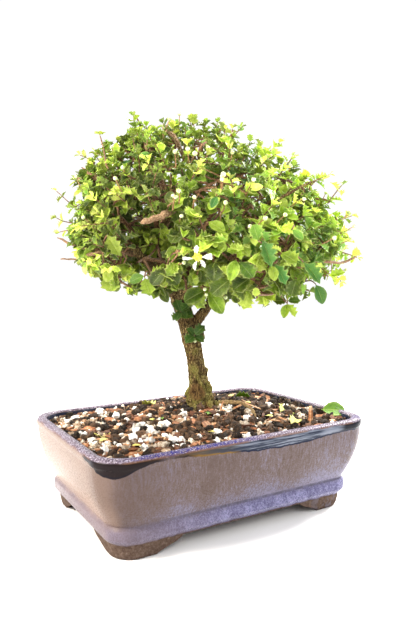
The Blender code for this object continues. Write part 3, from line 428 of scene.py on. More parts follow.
# Bits of leaf on the soil: place from the pot's middle, turn, length, and age.
LITTER_LIFT = 0.003
LITTER = (
    (-0.0004, -0.0122, 250, 0.005, 0.05), (0.002, -0.016, 120, 0.004, 0.15),
    (-0.036, -0.005, 40, 0.005, 0.85), (-0.03, -0.002, 160, 0.004, 0.2), (-0.085, -0.025, 280, 0.006, 0.95),
    (-0.066, -0.048, 75, 0.006, 0.98), (-0.048, 0.042, 310, 0.007, 0.8), (0.05, 0.002, 20, 0.006, 1),
    (0.038, -0.033, 200, 0.006, 1), (0.064, 0.048, 95, 0.006, 0.9), (0.074, -0.005, 140, 0.005, 0.92),
    (-0.014, -0.048, 15, 0.006, 1),
)

# A broken stick that stands in the soil, from the pot's middle.
BROKEN_STICK = (0.0655, -0.05)

# Dry sticks on the soil: place from the pot's middle, reach, and rise in the middle.
STICKS = (
    (0.0152, -0.0077, (0.001, -0.003, 0.008), 0.0004), (0.03, -0.042, (0.013, -0.003, 0.001), 0.002),
    (0.042, -0.036, (0.004, -0.012, 0.002), 0.002), (0.024, -0.007, (0.02, -0.012, 0.001), 0.005),
    (-0.02, 0.023, (-0.018, -0.004, 0.001), 0.003), (-0.058, -0.036, (0.015, 0.004, 0.001), 0.0016),
    (0.056, 0.01, (-0.012, 0.01, 0.001), 0.003), (-0.082, -0.01, (0.006, -0.013, 0.001), 0.0014),
    (0.07, 0.01, (0.01, 0.008, 0.002), 0.003), (-0.01, -0.056, (0.016, 0.002, 0.001), 0.0016),
)

# The floor, the sky, and the lamps: name, place from the pot, size, power and colour.
FLOOR_HALF = 3
SKY_STRENGTH = 1.05
LAMP_AIM_HEIGHT = 0.14
LAMPS = (
    ("key", (-0.9, 0.02, 0.6), 0.26, 20.5, (1, 0.92, 0.81)),
    ("back", (0.3, 0.7, 0.8), 0.35, 15, (1, 0.98, 0.92)),
    ("side", (0.8, 0.05, 0.66), 0.3, 25, (1, 0.98, 0.94)),
    ("fill", (-0.1, -0.95, 0.75), 0.6, 6, (1, 0.98, 0.96)),
)

CAMERA_FROM_POT = Vector((-0.2113, -0.374, 0.1656))
CAMERA_AHEAD = Vector((0.509, 0.8589, -0.0565))
CAMERA_ROLL = -0.0107
CAMERA_LENS = 33.94


# Places


def in_crown(side, depth, height):
    """A point given on the crown's axes, from the trunk's foot."""
    return TRUNK_FOOT + SIDE * side + DEPTH * depth + UP * height


def side_of(place):
    return (place - TRUNK_FOOT).dot(SIDE)


def depth_of(place):
    return (place - TRUNK_FOOT).dot(DEPTH)


def clipped(share):
    return min(max(share, 0), 1)


def smooth_rows(rows, steps):
    """Rows of numbers along a Catmull-Rom curve through the given ones."""
    rows = [np.array(row, float) for row in rows]
    rows = [rows[0], *rows, rows[-1]]
    made = []
    for a, b, c, d in zip(rows, rows[1:], rows[2:], rows[3:]):
        for step in range(steps):
            t = step / steps
            made.append(0.5 * (2 * b + (c - a) * t + (2 * a - 5 * b + 4 * c - d) * t ** 2
                               + (3 * b - 3 * c + d - a) * t ** 3))
    made.append(rows[-1])
    return made


def soil_height(x, y):
    away = math.hypot(x - TRUNK_FOOT.x, y - TRUNK_FOOT.y)
    return SOIL_LEVEL + SOIL_MOUND * math.exp(-(away / MOUND_REACH) ** 2)


def on_soil(x, y, lift=0):
    """A point over the soil, given from the pot's middle."""
    spot = POT_MIDDLE + Vector((x, y, 0))
    spot.z = soil_height(spot.x, spot.y) + lift
    return spot


def crown_parts(place):
    """A place's shares of the crown's spans, and the outline's roundness there."""
    away = place - in_crown(*CROWN_MIDDLE)
    side = away.dot(SIDE)
    drop = CROWN_DROP + CROWN_SLOPE * side
    shares = (side / (CROWN_RIGHT if side > 0 else CROWN_LEFT), away.dot(DEPTH) / CROWN_DEPTH,
              away.z / (CROWN_RISE if away.z > 0 else drop))
    return shares, TOP_ROUNDNESS if away.z > 0 else UNDER_ROUNDNESS


def crown_share(place):
    """How far out a place lies in the crown: 1 on its outline."""
    shares, roundness = crown_parts(place)
    return sum(abs(share) ** roundness for share in shares)


def crown_out(place):
    """The way out of the crown at a place."""
    (side, depth, rise), _ = crown_parts(place)
    return (SIDE * side + DEPTH * depth + UP * rise).normalized()


def crown_edge(way, scale=1):
    """The place where a way from the crown's middle, in shares of its spans, meets the scaled outline."""
    side, depth, rise = way
    roundness = TOP_ROUNDNESS if rise > 0 else UNDER_ROUNDNESS
    size = scale * sum(abs(part) ** roundness for part in way) ** (-1 / roundness)
    across = side * size * (CROWN_RIGHT if side > 0 else CROWN_LEFT)
    drop = CROWN_DROP + CROWN_SLOPE * across
    return (in_crown(*CROWN_MIDDLE) + SIDE * across + DEPTH * depth * size * CROWN_DEPTH
            + UP * rise * size * (CROWN_RISE if rise > 0 else drop))


def even_ways(count):
    """Evenly spread ways over a ball."""
    for number in range(count):
        level = 1 - 2 * (number + 0.5) / count
        ring = math.sqrt(1 - level * level)
        turn = math.pi * (3 - math.sqrt(5)) * number
        yield ring * math.cos(turn), ring * math.sin(turn), level


# Finishes


def len_of(value):
    return len(value) if hasattr(value, "__len__") else 0


class Finish:
    """A finish and the shader nodes that it is mixed from."""

    def __init__(self, name, **values):
        self.material = bpy.data.materials.new(name)
        self.material.use_nodes = True
        self.tree = self.material.node_tree
        self.shader = self.tree.nodes["Principled BSDF"]
        self.wear(**values)
        coordinates = self.tree.nodes.new("ShaderNodeTexCoord")
        self.object_place = coordinates.outputs["Object"]
        self.uv = coordinates.outputs["UV"]

    def give(self, socket, value):
        """Links a socket to another node's output, or sets its value."""
        if isinstance(value, bpy.types.NodeSocket):
            self.tree.links.new(value, socket)
        elif value is not None:
            needs_alpha = len_of(value) == 3 and len_of(socket.default_value) == 4
            socket.default_value = (*value, 1) if needs_alpha else value

    def put(self, kind, *values, **settings):
        """Adds a node, with values for its first sockets."""
        node = self.tree.nodes.new(kind)
        for setting, value in settings.items():
            setattr(node, setting, value)
        for socket, value in zip(node.inputs, values):
            self.give(socket, value)
        return node

    def put_named(self, kind, **values):
        """Adds a node, with values for the sockets of these names."""
        node = self.put(kind)
        for socket, value in values.items():
            self.give(node.inputs[socket], value)
        return node

    def in_mm(self, middle=Vector(), stretch=(1, 1, 1)):
        """Object coordinates in millimetres from a middle, each axis then stretched."""
        node = self.put("ShaderNodeMapping", self.object_place)
        node.inputs["Location"].default_value = [-m * 1000 * s for m, s in zip(middle, stretch)]
        node.inputs["Scale"].default_value = [1000 * s for s in stretch]
        return node.outputs[0]

    def noise(self, vector, scale, detail=3, roughness=0.55, distortion=0):
        return self.put_named("ShaderNodeTexNoise", Vector=vector, Scale=scale, Detail=detail,
                              Roughness=roughness, Distortion=distortion).outputs["Fac"]

    def cells(self, vector, scale, feature="F1"):
        node = self.put("ShaderNodeTexVoronoi", feature=feature)
        self.give(node.inputs["Vector"], vector)
        self.give(node.inputs["Scale"], scale)
        return node.outputs["Distance"]

    def calculated(self, operation, *values, clamp=False):
        return self.put("ShaderNodeMath", *values, operation=operation, use_clamp=clamp).outputs[0]

    def plus(self, first, second, clamp=False):
        return self.calculated("ADD", first, second, clamp=clamp)

    def minus(self, first, second):
        return self.calculated("SUBTRACT", first, second)

    def times(self, first, second):
        return self.calculated("MULTIPLY", first, second)

    def swing(self, value, amount):
        """How far a noise strays from its middle, times an amount."""
        return self.times(self.minus(value, 0.5), amount)

    def step(self, value, low, high, start=0, end=1):
        """Goes smoothly from start to end as the value goes from low to high."""
        node = self.put("ShaderNodeMapRange", value, low, high, start, end, interpolation_type="SMOOTHSTEP")
        return node.outputs[0]

    def ramp(self, value, *stops):
        """A colour ramp, each stop a position and a colour or a grey."""
        node = self.put("ShaderNodeValToRGB", value)
        elements = node.color_ramp.elements
        while len(elements) < len(stops):
            elements.new(0.5)
        for element, (position, colour) in zip(elements, stops):
            element.position = position
            element.color = (*colour, 1) if len_of(colour) == 3 else (colour, colour, colour, 1)
        return node.outputs["Color"]

    def mix(self, amount, first, second, blend="MIX"):
        node = self.put("ShaderNodeMix", data_type="RGBA", blend_type=blend)
        self.give(node.inputs["Factor"], amount)
        self.give(node.inputs[6], first)
        self.give(node.inputs[7], second)
        return node.outputs[2]

    def brightened(self, colour, gain):
        grey = self.put("ShaderNodeCombineColor", gain, gain, gain).outputs[0]
        return self.mix(1, colour, grey, "MULTIPLY")

    def parts(self, vector):
        return self.put("ShaderNodeSeparateXYZ", vector).outputs

    def own_tone(self):
        """The age, brightness and hue that a piece holds for each of its points."""
        tone = self.put("ShaderNodeAttribute", attribute_name="tone").outputs["Color"]
        return self.put("ShaderNodeSeparateColor", tone).outputs

    def bump(self, height, strength, distance):
        node = self.put_named("ShaderNodeBump", Height=height, Strength=strength, Distance=distance)
        return node.outputs[0]

    def wear(self, **sockets):
        """Links or sets the main shader's sockets."""
        for socket, value in sockets.items():
            self.give(self.shader.inputs[socket.replace("_", " ")], value)

    def glow_through(self, colour, share):
        """Lets light through a thin leaf or petal."""
        through = self.put("ShaderNodeBsdfTranslucent")
        self.give(through.inputs["Color"], colour)
        both = self.put("ShaderNodeMixShader", share, self.shader.outputs[0], through.outputs[0])
        self.tree.links.new(both.outputs[0], self.tree.nodes["Material Output"].inputs["Surface"])


def leaf_finish(name, tones, through, roughness, vein_lift, cool_tone=(0.036, 0.19, 0.044)):
    """A leaf's face: its tone runs from old to new growth, with pale midrib and side veins, and a pale rim
    that is partly the leaf's own margin and partly painted light along its edges.

    The tone attribute holds age, brightness and hue. Brightness is random, raised at the crown's right as
    painted light. Hue is olive at 0, a painted shade tint, green at a half, blue-green at 1.
    """
    made = Finish(name, Specular_IOR_Level=0.36)
    age, bright, hue = made.own_tone()
    across, along, _ = made.parts(made.uv)
    off = made.times(made.calculated("ABSOLUTE", made.minus(across, 0.5)), 2)
    midrib = made.step(off, 0.02, 0.085, 1, 0)
    slanted = made.minus(made.times(along, 7), made.times(off, 1.6))
    ripple = made.calculated("ABSOLUTE", made.minus(made.calculated("FRACT", slanted), 0.5))
    side_vein = made.step(ripple, 0.03, 0.11, 1, 0)
    veins = made.calculated("MAXIMUM", made.times(midrib, 0.6), made.times(side_vein, 0.18))
    mottle = made.noise(made.in_mm(), 0.5, 5, 0.68)
    blotch = made.noise(made.in_mm(), 0.16, 2, 0.5)
    shade = made.plus(age, made.swing(mottle, 0.8))
    shade = made.plus(shade, made.swing(blotch, 0.7), clamp=True)
    colour = made.ramp(shade, *tones)
    # Brightness gain: random tone, raised at the crown's right as painted light.
    gain = made.step(bright, 0, 1, 0.6, 2)
    colour = made.mix(made.step(hue, 0.5, 1, 0, 0.72), colour, cool_tone)
    # Painted shade: a low hue tints the leaf olive.
    colour = made.mix(made.step(hue, 0, 0.5, 1, 0), colour, (1.12, 0.98, 1.45), "MULTIPLY")
    colour = made.brightened(colour, gain)
    # The pale rim is partly the leaf's own margin and partly painted light glowing along its edges, stronger
    # on brighter leaves.
    pale = made.mix(0.62, colour, (0.86, 0.88, 0.3))
    margin_and_edge_light = made.times(made.step(off, 0.62, 0.95, 0, 0.9), made.step(mottle, 0.38, 0.56, 0.35, 1))
    margin_and_edge_light = made.times(margin_and_edge_light, made.step(bright, 0.25, 0.75, 0.25, 1))
    colour = made.mix(made.calculated("MAXIMUM", made.times(veins, 0.6), margin_and_edge_light), colour, pale)
    grain = made.noise(made.in_mm(), 1.5, 3, 0.6)
    height = made.minus(made.times(grain, 1.1), made.times(veins, vein_lift))
    made.wear(Base_Color=colour, Roughness=made.step(grain, 0.3, 0.7, roughness - 0.06, roughness + 0.1),
              Normal=made.bump(height, 0.7, 0.0005))
    lit = made.mix(0.38, colour, (0.67, 0.79, 0.1))
    made.glow_through(lit, through)
    return made.material


def bark_finish():
    """Ridged bark: pale ridges, dark furrows, and moss low on the trunk."""
    made = Finish("ridged_bark", Specular_IOR_Level=0.12)
    long_way = made.in_mm(TRUNK_FOOT, (1, 1, 0.16))
    ridges = made.noise(long_way, 0.95, 5, 0.62, 0.5)
    fine = made.noise(made.in_mm(TRUNK_FOOT, (1, 1, 0.45)), 2.4, 4, 0.6)
    broad = made.noise(made.in_mm(TRUNK_FOOT), 0.11, 3, 0.6)
    cracks = made.cells(made.in_mm(TRUNK_FOOT, (1, 1, 0.24)), 0.95, "DISTANCE_TO_EDGE")
    colour = made.ramp(ridges, (0.34, (0.034, 0.021, 0.009)), (0.45, (0.12, 0.08, 0.03)),
                       (0.54, (0.3, 0.208, 0.074)), (0.64, (0.6, 0.48, 0.2)))
    colour = made.mix(made.step(broad, 0.44, 0.6, 0, 0.6), colour, (0.19, 0.108, 0.04))
    colour = made.mix(made.step(fine, 0.38, 0.54, 0.6, 0), colour, (0.046, 0.03, 0.014))
    colour = made.mix(made.step(cracks, 0.02, 0.18, 0.88, 0), colour, (0.024, 0.015, 0.007))
    height = made.parts(made.in_mm(TRUNK_FOOT))[2]
    low = made.step(height, 74, 150, 1, 0.55)
    patches = made.noise(made.in_mm(TRUNK_FOOT, (1, 1, 0.6)), 0.2, 4, 0.65)
    moss = made.step(made.times(patches, low), 0.4, 0.6)
    fuzz = made.noise(made.in_mm(TRUNK_FOOT), 1.7, 3, 0.7)
    moss_tones = (0.36, (0.07, 0.07, 0.012)), (0.5, (0.215, 0.2, 0.04)), (0.64, (0.48, 0.43, 0.15))
    moss_colour = made.ramp(fuzz, *moss_tones)
    east, north, _ = made.parts(made.in_mm(TRUNK_FOOT))
    away = made.calculated("SQRT", made.plus(made.times(east, east), made.times(north, north)))
    bare = made.times(made.step(away, 12, 19), made.step(height, 76, 86, 1, 0))
    colour = made.mix(made.times(bare, 0.55), colour, (0.4, 0.262, 0.14))
    moss = made.times(moss, made.step(bare, 0, 1, 0.75, 0.12))
    colour = made.mix(moss, colour, moss_colour)
    from_scar = made.in_mm(in_crown(*SCAR))
    scar = made.put("ShaderNodeVectorMath", from_scar, operation="LENGTH").outputs["Value"]
    scar = made.plus(scar, made.swing(fine, 3))
    colour = made.mix(made.step(scar, 4, 8, 0.8, 0), colour, (0.15, 0.074, 0.03))
    # Painted shadow: dark crevices in the scar, where the root flare shades the trunk's foot.
    painted_crevice_shadow = made.times(made.step(scar, 2.5, 5.5, 0.95, 0), made.step(ridges, 0.44, 0.52, 1, 0))
    colour = made.mix(painted_crevice_shadow, colour, (0.018, 0.01, 0.006))
    relief = made.plus(ridges, made.times(fine, 0.5))
    relief = made.plus(relief, made.step(cracks, 0, 0.16, 0, 0.45))
    made.wear(Base_Color=colour, Roughness=made.step(fine, 0.3, 0.7, 0.78, 0.95),
              Normal=made.bump(relief, 1, 0.0013))
    return made.material


def twig_finish():
    made = Finish("red_brown_twig", Specular_IOR_Level=0.35)
    rough = made.noise(made.in_mm(), 1.3, 4, 0.6)
    colour = made.ramp(rough, (0.34, (0.055, 0.028, 0.013)), (0.5, (0.165, 0.08, 0.036)),
                       (0.62, (0.35, 0.205, 0.1)))
    made.wear(Base_Color=colour, Roughness=made.step(rough, 0.3, 0.7, 0.55, 0.8),
              Normal=made.bump(rough, 0.6, 0.0004))
    return made.material


def stub_finish():
    """Old cut and broken limbs: rough pinkish-tan bark, dark in its cracks."""
    made = Finish("cut_limb_bark", Specular_IOR_Level=0.25)
    rough = made.noise(made.in_mm(), 0.9, 5, 0.68)
    patches = made.noise(made.in_mm(), 0.16, 2, 0.5)
    colour = made.ramp(rough, (0.34, (0.07, 0.036, 0.02)), (0.44, (0.25, 0.145, 0.075)),
                       (0.54, (0.43, 0.28, 0.155)), (0.66, (0.64, 0.47, 0.29)))
    colour = made.mix(made.step(patches, 0.4, 0.54, 0.45, 0), colour, (0.16, 0.09, 0.048))
    made.wear(Base_Color=colour, Roughness=made.step(rough, 0.3, 0.7, 0.75, 0.95),
              Normal=made.bump(rough, 1, 0.0011))
    return made.material


def stalk_finish():
    made = Finish("red_stalk", Specular_IOR_Level=0.45)
    rough = made.noise(made.in_mm(), 1.1, 3, 0.5)
    made.wear(Base_Color=made.ramp(rough, (0.35, (0.17, 0.07, 0.026)), (0.65, (0.44, 0.27, 0.12))),
              Roughness=made.step(rough, 0.3, 0.7, 0.4, 0.6))
    return made.material


def bud_finish():
    made = Finish("green_white_bud", Specular_IOR_Level=0.5)
    spots = made.noise(made.in_mm(), 0.9, 3, 0.5)
    made.wear(Base_Color=made.ramp(spots, (0.35, (0.33, 0.42, 0.13)), (0.55, (0.64, 0.7, 0.36)),
                                   (0.7, (0.86, 0.88, 0.66))),
              Roughness=made.step(spots, 0.3, 0.7, 0.35, 0.55), Normal=made.bump(spots, 0.4, 0.0004))
    return made.material


def petal_finish():
    made = Finish("white_petal", Specular_IOR_Level=0.4)
    across, along, _ = made.parts(made.uv)
    drawn_out = made.put("ShaderNodeMapping", made.uv, (0, 0, 0), (0, 0, 0), (14, 1.2, 1)).outputs[0]
    fan = made.noise(drawn_out, 2, 2, 0.5)
    # The petal is greyer in fine streaks and greener towards its foot: partly its own veins and green claw,
    # partly painted shade where petals fold and meet.
    colour = made.mix(made.step(fan, 0.4, 0.62), (0.93, 0.93, 0.86), (0.76, 0.8, 0.7))
    colour = made.mix(made.step(along, 0.1, 0.42, 0.75, 0), colour, (0.62, 0.7, 0.3))
    made.wear(Base_Color=colour, Roughness=made.step(fan, 0.3, 0.7, 0.45, 0.6),
              Normal=made.bump(fan, 0.35, 0.0003))
    made.glow_through((0.9, 0.92, 0.78), 0.25)
    return made.material


def stamen_finish():
    made = Finish("yellow_stamens", Specular_IOR_Level=0.3)
    dust = made.noise(made.in_mm(), 3, 3, 0.6)
    made.wear(Base_Color=made.ramp(dust, (0.35, (0.56, 0.5, 0.016)), (0.65, (0.86, 0.85, 0.13))),
              Roughness=made.step(dust, 0.3, 0.7, 0.6, 0.85), Normal=made.bump(dust, 0.5, 0.0003))
    return made.material


def grain_finish(name, scale, tones, roughness, relief, speckle=None):
    """Loose grains: their own tone, broken up by noise at two scales."""
    made = Finish(name, Specular_IOR_Level=0.3)
    age, bright, _ = made.own_tone()
    coarse = made.noise(made.in_mm(), scale, 4, 0.62)
    fine = made.noise(made.in_mm(), scale * 4.5, 3, 0.6)
    shade = made.plus(coarse, made.swing(age, 0.45), clamp=True)
    colour = made.ramp(shade, *tones)
    gain = made.step(bright, 0, 1, 0.72, 1.22)
    colour = made.brightened(colour, gain)
    if speckle:
        colour = made.mix(made.step(fine, 0.6, 0.7, 0, 0.85), colour, speckle)
    height = made.plus(coarse, made.times(fine, 0.6))
    gloss = made.step(fine, 0.3, 0.7, roughness - 0.08, min(roughness + 0.08, 1))
    made.wear(Base_Color=colour, Roughness=gloss, Normal=made.bump(height, 0.8, relief))
    return made.material


class PotGlaze(Finish):
    """The pot: a streaky taupe glaze, lilac on its band and lip, dark where it ran, on a bare brown foot.

    Places are millimetres from the pot's middle on the floor.
    """

    def __init__(self):
        super().__init__("blue_brown_glaze", Specular_IOR_Level=0.05)
        self.place = self.in_mm(POT_MIDDLE)
        self.x, self.y, self.z = self.parts(self.place)
        self.streaks = self.noise(self.in_mm(POT_MIDDLE, (1, 1, 0.14)), 0.85, 5, 0.68, 0.3)
        self.speckle = self.noise(self.place, 1.15, 3, 0.65)
        self.clouds = self.noise(self.in_mm(POT_MIDDLE, (1, 1, 0.6)), 0.045, 3, 0.55)
        self.ragged = self.noise(self.in_mm(POT_MIDDLE, (1, 1, 0.5)), 0.16, 3, 0.6)
        colour = self.over_lip(self.over_band(self.wall()))
        colour, ran = self.over_runs(colour)
        colour, bare = self.over_foot(self.over_rusty_line(colour))
        shine = self.mix(ran, self.step(self.speckle, 0.3, 0.7, 0.22, 0.38), (0.1, 0.1, 0.1))
        shine = self.mix(bare, shine, (0.82, 0.82, 0.82))
        relief = self.plus(self.times(self.streaks, 0.5), self.times(self.speckle, 0.5))
        relief = self.plus(relief, self.times(ran, 0.8))
        self.wear(Base_Color=colour, Roughness=shine, Normal=self.bump(relief, 0.35, 0.0005))

    def wall(self):
        """From taupe to lilac towards its foot and in fine streaks. The lit left end is painted warm and pale
        as light, with a painted highlight, and the front is painted darker towards the left corner as shade.
        """
        x, y, z = self.x, self.y, self.z
        towards_foot = self.step(z, 20, 40, 0.24, 0)
        towards_right = self.step(x, -20, 100, 0, 0.12)
        blue = self.plus(self.plus(self.streaks, self.times(self.speckle, 0.55)),
                         self.plus(towards_foot, towards_right))
        blue = self.plus(blue, self.swing(self.clouds, 0.5))
        wall = self.ramp(self.step(blue, 0.55, 1.25),
                         (0, (0.078, 0.055, 0.049)), (0.3, (0.099, 0.074, 0.072)),
                         (0.52, (0.114, 0.092, 0.103)), (0.76, (0.128, 0.115, 0.154)),
                         (1, (0.16, 0.15, 0.215)))
        out = self.minus(x, self.step(z, 20, 46, 9, 0))
        # Painted light: the left end is warm and pale where the light falls, with a paler painted highlight
        # at mid-height.
        wall = self.mix(self.step(out, -97, -91, 0.7, 0), wall, (0.212, 0.15, 0.12))
        painted_highlight_left_end = self.times(self.step(out, -98, -94, 0.6, 0), self.step(z, 24, 44, 1, 0))
        wall = self.mix(painted_highlight_left_end, wall, (0.31, 0.215, 0.17))
        # Painted shade: the front wall is darker towards the left corner.
        painted_shade_near_corner = self.times(self.step(x, -84, -34, 0.62, 0), self.step(y, -60, -40, 1, 0.25))
        return self.mix(painted_shade_near_corner, wall, (0.074, 0.05, 0.043))

    def over_band(self, colour):
        """The band is lilac-blue and greyer at its left, painted pale at its lit left end, with a painted
        shadow in the groove above it and a pale crest that is partly a painted highlight.
        """
        x, z = self.x, self.z
        band_tone = self.plus(self.times(self.speckle, 0.7), self.times(self.ragged, 0.5))
        band = self.ramp(band_tone, (0.38, (0.052, 0.049, 0.096)), (0.56, (0.097, 0.092, 0.168)),
                         (0.74, (0.2, 0.194, 0.325)))
        band = self.mix(self.step(x, -96, 10, 0.78, 0), band, (0.112, 0.086, 0.092))
        # Painted light: the band's left end is pale where the light falls.
        band = self.mix(self.step(x, -95, -90.5, 0.6, 0), band, (0.23, 0.178, 0.172))
        band_reach = self.plus(z, self.swing(self.ragged, 5))
        colour = self.mix(self.step(band_reach, 18.5, 23.5, 1, 0), colour, band)
        # Painted shadow: a dark line in the groove under the wall's step, fainter at the left.
        painted_groove_shadow = self.times(self.step(z, 20.2, 21.3), self.step(z, 21.9, 23.4, 1, 0))
        painted_groove_shadow = self.times(painted_groove_shadow, self.step(x, -90, 0, 0.2, 1))
        painted_groove_shadow = self.times(painted_groove_shadow, self.step(self.ragged, 0.36, 0.56, 0.3, 0.75))
        colour = self.mix(painted_groove_shadow, colour, (0.04, 0.035, 0.052))
        # A pale line along the band's lower edge: partly glaze breaking pale there, partly a painted
        # highlight.
        pale_crest_and_highlight = self.times(self.step(z, 11.6, 12.6), self.step(z, 13.2, 14.4, 1, 0))
        pale_crest_and_highlight = self.times(pale_crest_and_highlight, self.step(x, -80, 10, 0.15, 1))
        pale_crest_and_highlight = self.times(pale_crest_and_highlight, self.step(self.speckle, 0.42, 0.56, 0.1, 0.55))
        return self.mix(pale_crest_and_highlight, colour, (0.29, 0.28, 0.37))

    def over_lip(self, colour):
        """The lip is lilac pink on top, with deep blue flecks along the front and a deep blue inner edge."""
        x, y, z = self.x, self.y, self.z
        on_lip = self.step(z, 62.6, 64.3)
        flecks = self.noise(self.in_mm(POT_MIDDLE, (0.55, 1, 1)), 1.5, 3, 0.7)
        front_middle = self.times(self.step(x, -96, -70), self.step(x, -25, 20, 1, 0))
        front_middle = self.times(front_middle, self.step(y, -66, -60, 1, 0))
        lip = self.ramp(self.speckle, (0.4, (0.056, 0.042, 0.054)), (0.52, (0.14, 0.108, 0.132)),
                        (0.64, (0.48, 0.45, 0.54)))
        fleck_amount = self.times(self.step(flecks, 0.45, 0.53), self.plus(front_middle, 0.12))
        lip = self.mix(fleck_amount, lip, (0.03, 0.029, 0.13))
        inner_edge = self.times(self.step(y, -71.6, -70.6), self.step(y, -66, -60, 1, 0))
        inner_edge = self.times(inner_edge, self.step(x, 20, 60, 0.9, 0.4))
        inner_edge = self.times(inner_edge, self.step(x, -88, -76))
        lip = self.mix(inner_edge, lip, (0.03, 0.028, 0.11))
        return self.mix(on_lip, colour, lip)

    def over_runs(self, colour):
        """Where the glaze ran below the lip: dark at the corners, slate blue between, with a ragged edge."""
        x, y, z = self.x, self.y, self.z
        along_front = self.put("ShaderNodeMapRange", x, -102.5, 102.5, 0, 1).outputs[0]
        along_left = self.put("ShaderNodeMapRange", y, -75.5, 75.5, 0, 1).outputs[0]
        front_run = self.ramp(along_front, (0, 0.55), (0.02, 0.8), (0.045, 0.95), (0.07, 0.82),
                              (0.095, 0.52), (0.13, 0.26), (0.16, 0.14), (0.2, 0.1), (0.26, 0.14),
                              (0.31, 0.32), (0.4, 0.5), (0.5, 0.7), (0.6, 0.8), (0.7, 0.78),
                              (0.79, 0.58), (0.86, 0.52), (0.92, 0.5), (0.96, 0.34), (1, 0.1))
        left_run = self.ramp(along_left, (0, 0.48), (0.08, 0.3), (0.18, 0.14), (0.26, 0.04),
                             (0.5, 0), (1, 0.06))
        other_run = self.step(self.noise(self.place, 0.028, 2, 0.5), 0.45, 0.7, 0.05, 0.6)
        in_front = self.step(y, -62, -58, 1, 0)
        at_left = self.step(x, -90, -86, 1, 0)
        run = self.mix(in_front, self.mix(at_left, other_run, left_run), front_run)
        edge = self.plus(self.times(run, 8.4), self.swing(self.ragged, 2.2))
        over_edge = self.minus(z, self.minus(62.4, edge))
        ran = self.times(self.step(over_edge, 0, 0.5), self.step(run, 0.08, 0.14))
        ran = self.times(ran, self.step(z, 63.4, 64.2, 1, 0))
        body = self.ramp(along_front, (0, (0.01, 0.007, 0.008)), (0.13, (0.012, 0.008, 0.008)),
                         (0.2, (0.044, 0.024, 0.015)), (0.29, (0.06, 0.044, 0.028)),
                         (0.4, (0.062, 0.06, 0.058)), (0.46, (0.07, 0.082, 0.108)),
                         (0.78, (0.084, 0.098, 0.132)), (0.83, (0.06, 0.07, 0.095)),
                         (0.87, (0.008, 0.009, 0.014)), (0.95, (0.009, 0.01, 0.016)),
                         (0.98, (0.07, 0.064, 0.085)))
        flow = self.noise(self.in_mm(POT_MIDDLE, (0.05, 0.05, 1)), 0.9, 3, 0.6)
        slate = self.times(self.step(x, -50, -10), self.step(x, 68, 77, 1, 0))
        pale_streaks = self.times(self.step(flow, 0.5, 0.62, 0, 0.6), slate)
        body = self.mix(pale_streaks, body, (0.19, 0.206, 0.262))
        dark_streaks = self.times(self.step(flow, 0.41, 0.53, 0.92, 0), slate)
        body = self.mix(dark_streaks, body, (0.012, 0.016, 0.032))
        body = self.mix(in_front, (0.024, 0.022, 0.03), body)
        rim_of_run = self.ramp(along_front, (0.1, (0.008, 0.007, 0.01)), (0.26, (0.02, 0.014, 0.012)),
                               (0.3, (0.12, 0.066, 0.018)), (0.41, (0.13, 0.075, 0.022)),
                               (0.45, (0.01, 0.013, 0.028)))
        run_colour = self.mix(self.step(over_edge, 0.8, 2, 1, 0), body, rim_of_run)
        return self.mix(ran, colour, run_colour), ran

    def over_rusty_line(self, colour):
        """A rusty line where the glaze breaks over the lip's edge."""
        line = self.times(self.step(self.z, 62.9, 63.5), self.step(self.z, 64, 64.7, 1, 0))
        line = self.times(line, self.step(self.noise(self.place, 0.06, 2, 0.5), 0.44, 0.56))
        return self.mix(self.times(line, 0.6), colour, (0.13, 0.066, 0.036))

    def over_foot(self, colour):
        """The foot and the underside are bare clay, with a ragged edge of glaze."""
        clay = self.ramp(self.noise(self.place, 0.5, 5, 0.65), (0.35, (0.048, 0.03, 0.022)),
                         (0.55, (0.09, 0.06, 0.046)), (0.72, (0.15, 0.112, 0.092)))
        smear = self.times(self.step(self.ragged, 0.5, 0.6, 0, 0.6), self.step(self.x, 40, 70))
        clay = self.mix(smear, clay, (0.12, 0.108, 0.132))
        bare = self.step(self.plus(self.z, self.swing(self.ragged, 3.4)), 9.8, 11.4, 1, 0)
        return self.mix(bare, colour, clay), bare


def inner_glaze_finish():
    made = Finish("dark_inner_glaze", Specular_IOR_Level=0.4)
    wet = made.noise(made.in_mm(POT_MIDDLE, (1, 1, 0.5)), 0.12, 4, 0.6)
    made.wear(Base_Color=made.ramp(wet, (0.35, (0.008, 0.009, 0.018)), (0.6, (0.024, 0.03, 0.06)),
                                   (0.75, (0.07, 0.08, 0.12))),
              Roughness=made.step(wet, 0.3, 0.7, 0.12, 0.3), Normal=made.bump(wet, 0.4, 0.0006))
    return made.material


def screen_finish():
    made = Finish("black_screen_plastic", Specular_IOR_Level=0.4)
    dust = made.noise(made.in_mm(), 0.8, 3, 0.6)
    made.wear(Base_Color=made.ramp(dust, (0.4, (0.012, 0.013, 0.012)), (0.7, (0.06, 0.055, 0.048))),
              Roughness=made.step(dust, 0.3, 0.7, 0.4, 0.7), Normal=made.bump(dust, 0.3, 0.0003))
    return made.material


# Meshes and objects


def mesh_of(bm, name):
    """Ends a bmesh as a mesh."""
    mesh = bpy.data.meshes.new(name)
    bm.to_mesh(mesh)
    bm.free()
    return mesh


def placed(name, data):
    """A new object in the scene, of a mesh, a lamp or a camera."""
    thing = bpy.data.objects.new(name, data)
    bpy.context.scene.collection.objects.link(thing)
    return thing


def with_modifiers(thing):
    """A new mesh of what the thing's modifiers make of it."""
    graph = bpy.context.evaluated_depsgraph_get()
    return bpy.data.meshes.new_from_object(thing.evaluated_get(graph))


# Shapes that are made once and set in place many times


def shape_of(bm, name):
    """Ends a bmesh as a mesh whose hard edges stay hard, with a tone for each point."""
    bmesh.ops.recalc_face_normals(bm, faces=bm.faces)
    mesh = mesh_of(bm, name)
    mesh.shade_smooth()
    mesh.set_sharp_from_angle(angle=math.radians(48))
    if "tone" not in mesh.attributes:
        mesh.attributes.new("tone", "FLOAT_COLOR", "POINT")
    return mesh


